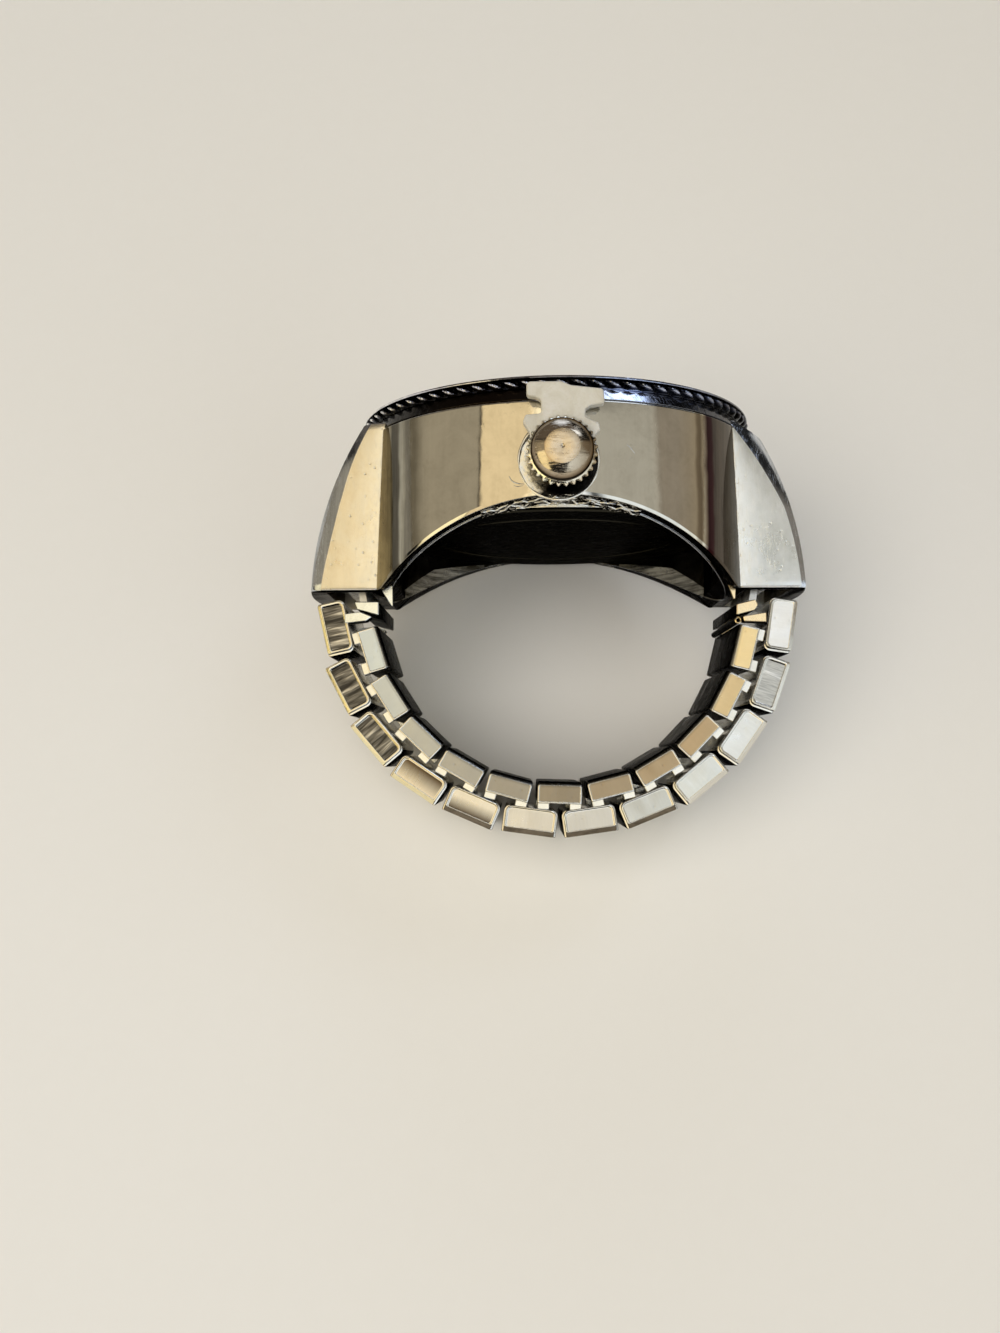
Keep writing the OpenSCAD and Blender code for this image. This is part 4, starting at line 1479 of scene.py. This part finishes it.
def make_link(node):
    """One link of either row, with its end faces, strip and hidden ends in their own materials."""
    outer = node.startswith("outer")
    place, half, degrees = link_place(node)
    if outer:
        low_down = math.cos(math.radians(degrees)) ** 2
        strip = between(STRIP_W, low_down), between(STRIP_D, low_down)
        rings = outer_link_rings(half, RECESSED.get(node, 0.02), BORDER[node in RECESSED], *strip)
        shell, face, slot = LINK_SHELL, end_material(node, degrees), "outer_link_plate"
    else:
        rings = inner_link_rings(half)
        shell, face, slot = INNER_SHELL, INNER_FACE, "inner_link_steel"
    shape = Shape().loft(rings, place=place)
    shift = GRAIN_SHIFT * int(node[-2:])
    shape.grain = [(x, y + shift, z) for x, y, z in shape.grain]
    shape.tint = tint_at(OUTER_TINT if outer else INNER_TINT, degrees)
    origin, ahead, inward = place([(0, 0, 0), (1, 0, 0), (0, 0, 1)])
    along, towards = ahead - origin, inward - origin

    def pick(middle, normal):
        if abs(float(normal @ along)) > 0.6 and abs(middle[1]) < half[1] - 0.06:
            return LINK_END
        if not outer and float(normal @ towards) > 0.8:
            return LINK_END
        if outer and abs(normal[1]) > 0.5 and float(normal @ towards) < -0.3:
            return strip_material(degrees)
        spot = middle - origin
        at_end = abs(normal[1]) > 0.9 and abs(middle[1]) > half[1] - 0.2
        in_middle = abs(float(spot @ along)) < 0.6 and abs(float(spot @ towards)) < 0.3
        return face if at_end and in_middle else shell

    materials = [shell, face, LINK_END]
    if outer and strip_material(degrees) != shell:
        materials.append(strip_material(degrees))
    make_piece(shape, node.replace("_link_", "_link_shell_"), [node], materials, 28, pick)


def make_links():
    for node in sorted(frame["nodes"]):
        if node.startswith(("outer_link", "inner_link")):
            make_link(node)


CLIP_L = 0.62
CLIP_W = 0.9
CLIP_T = 0.34
CLIP_OFFSET = 0.84


def make_clips():
    """Staples between the rows, one at each end of every inner link."""
    for side, word in ((-1, "near"), (1, "far")):
        shape = Shape()
        for node in sorted(n for n in frame["nodes"] if n.startswith("inner_link")):
            place, half, _ = link_place(node)
            for end in (-1, 1):
                add_clip(shape, place, half, side, end)
        node = "link_clips_" + word
        make_piece(shape, "staples_" + word, [node], [CLIP_METAL], 35)


def add_clip(shape, place, half, side, end):
    """One staple, at one side and one end of an inner link."""
    x = end * CLIP_OFFSET
    out = -half[2] - INNER_EXTRA + 0.02
    outer_y = side * (half[1] - 0.1)
    inner_y = outer_y - side * CLIP_W
    outline = bar_outline(CLIP_L / 2, out - CLIP_T, out, 0.05, 0.03, 2) + (x, 0)
    shares = ((0.0, 0.035), (0.03, 0.005), (0.08, 0.0), (0.92, 0.0), (1.0, 0.03))
    stations = [(between((outer_y, inner_y), share), inset) for share, inset in shares]
    shape.loft(along_y(outline, stations), place=place)


# Outlines of the band's ends in x and z with corner radii, x counted outwards from the middle
HOOK_PLATE = {
    -1: [(9.46, -0.14, 0.06), (10.58, 0.17, 0.06), (10.74, 0.6, 0.05), (9.46, 0.6, 0.05)],
    1: [(9.34, -0.23, 0.06), (10.3, 0.02, 0.15), (10.5, 0.31, 0.15), (10.36, 0.6, 0.12), (9.36, 0.36, 0.08)],
}
HOOK_TONGUE = {
    -1: [
        (9.8, -0.2, 0.05), (10.13, -0.44, 0.15), (11.25, -0.56, 0.04), (11.25, -0.04, 0.04),
        (10.44, 0.06, 0.2),
    ],
    1: [(9.66, -0.3, 0.06), (9.73, -0.57, 0.06), (10.9, -0.62, 0.04), (10.9, -0.1, 0.04)],
}
GUARD = {
    -1: [(8.7, 0.22, 0.05), (9.32, 1.2, 0.04), (8.72, 1.5, 0.06)],
    1: [(9.28, 0.42, 0.05), (9.36, 1.28, 0.05), (8.93, 1.4, 0.04)],
}
HOOK_HALF_W = 3.3
BAND_HALF_W = 4.15
CURL_AT = (9.43, -0.5)
CURL_R = 0.18
HOOK_TINT = {-1: (0.86, 0.9, 0.92), 1: (1.0, 0.8, 0.5)}


def make_hooks():
    """Ends of the band: a folded plate with an eye round the spring bar, and the end link's tongue."""
    for side, word in ((-1, "left"), (1, "right")):
        shape = Shape()
        hook_plate(shape, side)
        hook_eye(shape, side)
        hook_tongue(shape, side)
        hook_guard(shape, side)
        if side == 1:
            hook_curl(shape, side)
        shape.tint = HOOK_TINT[side]
        materials = [HOOK_METAL, BAR_METAL, LINK_END]
        name = "band_hook_" + word
        make_piece(shape, name, ["end_hook_" + word], materials, 35, hook_metal)


def hook_metal(middle, normal):
    # The eye and neck take the greyer bar metal as painted shade in the lug's pocket, and the narrow sides the
    # metal painted dark as shade
    if abs(middle[1]) < HOOK_HALF_W + 0.05 and middle[2] > 0.62:
        return BAR_METAL
    return LINK_END if abs(normal[1]) < 0.5 and abs(middle[1]) < BAND_HALF_W - 0.1 else HOOK_METAL


def hook_plate(shape, side):
    ends = [(-BAND_HALF_W, 0.05), (-BAND_HALF_W + 0.015, 0.02), (-BAND_HALF_W + 0.06, 0.0)]
    stations = ends + [(-y, inset) for y, inset in reversed(ends)]
    shape.loft(along_y(rounded(HOOK_PLATE[side], 4), stations, side))


def ring_along_y(shape, side, at, section, count):
    """A ring round an axis along the finger: section is (y, r), at is outward x and z."""
    rings = []
    for a in turns(count):
        rings.append([(side * (at[0] + r * math.cos(a)), y, at[1] + r * math.sin(a)) for y, r in section])
    shape.loft(rings, wrap=True)


def hook_eye(shape, side):
    """Eye round the spring bar and the narrow neck below it."""
    eye_r, hole_r = 0.72, 0.42
    end = HOOK_HALF_W
    section = [(-end, eye_r - 0.04), (-end + 0.04, eye_r), (end - 0.04, eye_r), (end, eye_r - 0.04)]
    ring_along_y(shape, side, (BAR_X, BAR_Z), section + [(end, hole_r), (-end, hole_r)], 32)
    neck = rounded([(10.1, 0.3, 0.04), (10.5, 0.3, 0.04), (10.72, BAR_Z, 0.04), (10.42, BAR_Z, 0.04)], 2)
    shape.loft(along_y(neck, [(-end, 0.0), (end, 0.0)], side))


def hook_tongue(shape, side):
    """Tongue that reaches from the first outer link under the plate, at both edges of the band."""
    outline = rounded(HOOK_TONGUE[side], 4)
    for sign in (1, -1):
        ends = ((-4.22, 0.04), (-4.2, 0.01), (-4.15, 0.0), (-3.3, 0.0))
        shape.loft(along_y(outline, [(sign * y, inset) for y, inset in ends], side))


def hook_guard(shape, side):
    """Small cheek beside the plate, between it and the case, at the crown side."""
    shape.loft(along_y(rounded(GUARD[side], 3), [(-4.1, 0.03), (-4.07, 0.0), (-3.9, 0.0)], side))


def hook_curl(shape, side):
    """Rolled edge of the folded plate."""
    section = [(-4.12, 0.6), (-4.14, 0.75), (-4.1, 1.0), (4.1, 1.0), (4.14, 0.75), (4.12, 0.6)]
    ring_along_y(shape, side, CURL_AT, [(y, CURL_R * share) for y, share in section], 24)


def keep_node(node, material):
    """A CAD node that shows as it is, with a finish of its own."""
    thing = frame["nodes"][node]
    thing.data.materials.clear()
    thing.data.materials.append(material)


# Studio

FLOOR_HALF = 1.5
LIGHT_AT = (-0.1, -0.12, 0.32)
# How far the floor lies below the ring, so that the two don't touch
FLOOR_GAP = 0.00002


def make_floor():
    mesh = bpy.data.meshes.new("floor")
    corners = [(x * FLOOR_HALF, y * FLOOR_HALF, 0) for x, y in ((-1, -1), (1, -1), (1, 1), (-1, 1))]
    mesh.from_pydata(corners, [], [(0, 1, 2, 3)])
    mesh.materials.append(floor_paper())
    floor = in_scene("floor", mesh)
    floor.location.z = CAD_BOX[0].z - FLOOR_GAP


def make_floor_light():
    """Broad soft light on the floor and the plastic. It isn't seen in the metal."""
    data = bpy.data.lights.new("overhead", "AREA")
    data.shape = "DISK"
    data.size = 0.3
    data.energy = 0.7
    data.color = (1.0, 0.98, 0.95)
    light = in_scene("overhead", data)
    light.location = LIGHT_AT
    light.rotation_euler = (-light.location).to_track_quat("-Z", "Y").to_euler()
    light.visible_glossy = False


# Soft panels round the ring: azimuth from the crown side towards the right lug, elevation towards
# the dial, both in degrees, how soft the edges are, and the panel's colour and brightness
PANELS = {
    "front_warm": ((-14, 1), (-24, 25), 3, (1.0, 0.86, 0.56), 1.3),
    "front_cool": ((1, 15), (-24, 25), 2.5, (0.91, 0.96, 1.0), 1.25),
    "left_cream": ((-45.0, -14), (-30, 25), 0.8, (1.0, 0.79, 0.46), 0.9),
    "left_olive": ((-100, -46.4), (-2, 25), 0.8, (1.0, 0.86, 0.6), 0.34),
    "left_yellow": ((-76, -46), (-50, 1), 1.5, (1.0, 0.86, 0.5), 1.35),
    "right_grey": ((15, 60), (-2, 25), 3, (1.0, 0.95, 0.8), 0.42),
    "right_dim": ((60, 100), (-2, 25), 4, (1.0, 0.86, 0.66), 0.27),
    "right_cool": ((21, 100), (-60, -4), 4, (0.9, 0.97, 1.0), 1.0),
    "dial_patch": ((32, 66), (38, 54), 3, (0.72, 0.83, 1.0), 2.2),
    "high_brown": ((-100, 60), (31, 74), 5, (1.0, 0.8, 0.6), 0.11),
    "dial_cap": ((-200, 200), (76, 100), 3, (0.7, 0.8, 1.0), 1.6),
    "back_left": ((-200, -104), (2, 70), 5, (1.0, 0.97, 0.92), 0.45),
    "back_right": ((104, 200), (2, 70), 5, (0.95, 0.98, 1.0), 0.45),
}
ROOM = (0.02, 0.019, 0.018)
# Plain pale wall that only the camera sees, past the edge of the floor
WALL = (0.5, 0.48, 0.445)


def soft_step(n, value, edge, soft, rising):
    """From 0 to 1 over an edge, or from 1 to 0."""
    low, high = (0.0, 1.0) if rising else (1.0, 0.0)
    return n.spread(value, low, high, edge - soft, edge + soft, "SMOOTHSTEP")


def make_world():
    """Dim room with soft panels round the ring, so that the metal has dark and light to show."""
    world = bpy.data.worlds.new("studio")
    bpy.context.scene.world = world
    world.use_nodes = True
    n = Nodes(world)
    ahead = n.new("ShaderNodeTexCoord", {}).outputs["Generated"]
    x_axis, y_axis, z_axis = WATCH.to_3x3().col
    parts = []
    for axis in (x_axis, -y_axis, z_axis):
        dot = n.new("ShaderNodeVectorMath", {0: ahead, 1: tuple(axis)}, operation="DOT_PRODUCT")
        parts.append(dot.outputs["Value"])
    azimuth = n.math("MULTIPLY", n.math("ARCTAN2", parts[0], parts[1]), math.degrees(1))
    elevation = n.math("MULTIPLY", n.math("ARCSINE", parts[2]), math.degrees(1))
    total = ROOM
    for (left, right), (low, high), soft, colour, power in PANELS.values():
        mask = 1.0
        for value, edge, rising in (
            (azimuth, left, True), (azimuth, right, False), (elevation, low, True), (elevation, high, False),
        ):
            mask = n.math("MULTIPLY", mask, soft_step(n, value, edge, soft, rising))
        total = n.mix(mask, total, tuple(c * power for c in colour), "ADD")
    seen = n.new("ShaderNodeLightPath", {}).outputs["Is Camera Ray"]
    n.put(n.mix(seen, total, WALL), world.node_tree.nodes["Background"].inputs["Color"])


def make_camera():
    data = bpy.data.cameras.new("camera")
    data.sensor_width = FILM_WIDTH
    data.lens = LENS
    data.clip_start = 0.001
    data.clip_end = 20.0
    camera = in_scene("camera", data)
    turn = WATCH.to_3x3() @ Euler(CAMERA_TURN, "XYZ").to_matrix()
    right, ahead, up = turn.col
    place = Matrix.Translation(Vector(to_row([CAMERA_AT])[0]))
    camera.matrix_world = place @ Matrix((right, up, -ahead)).transposed().to_4x4()
    bpy.context.scene.camera = camera


make_camera()
make_floor()
make_world()
make_floor_light()
bpy.context.scene.view_settings.view_transform = "Standard"

make_case()
seat_lip()
casting_strip()
casting_lines()
barrel_marks()
lug_edges()
make_back()
make_bezel()
make_crystal()
make_dial()
make_markers()
make_hands()
make_crown()
make_stopper()
make_links()
make_clips()
make_hooks()
keep_node("movement", WORKS)
for bar in ("spring_bar_left", "spring_bar_right"):
    keep_node(bar, BAR_METAL)
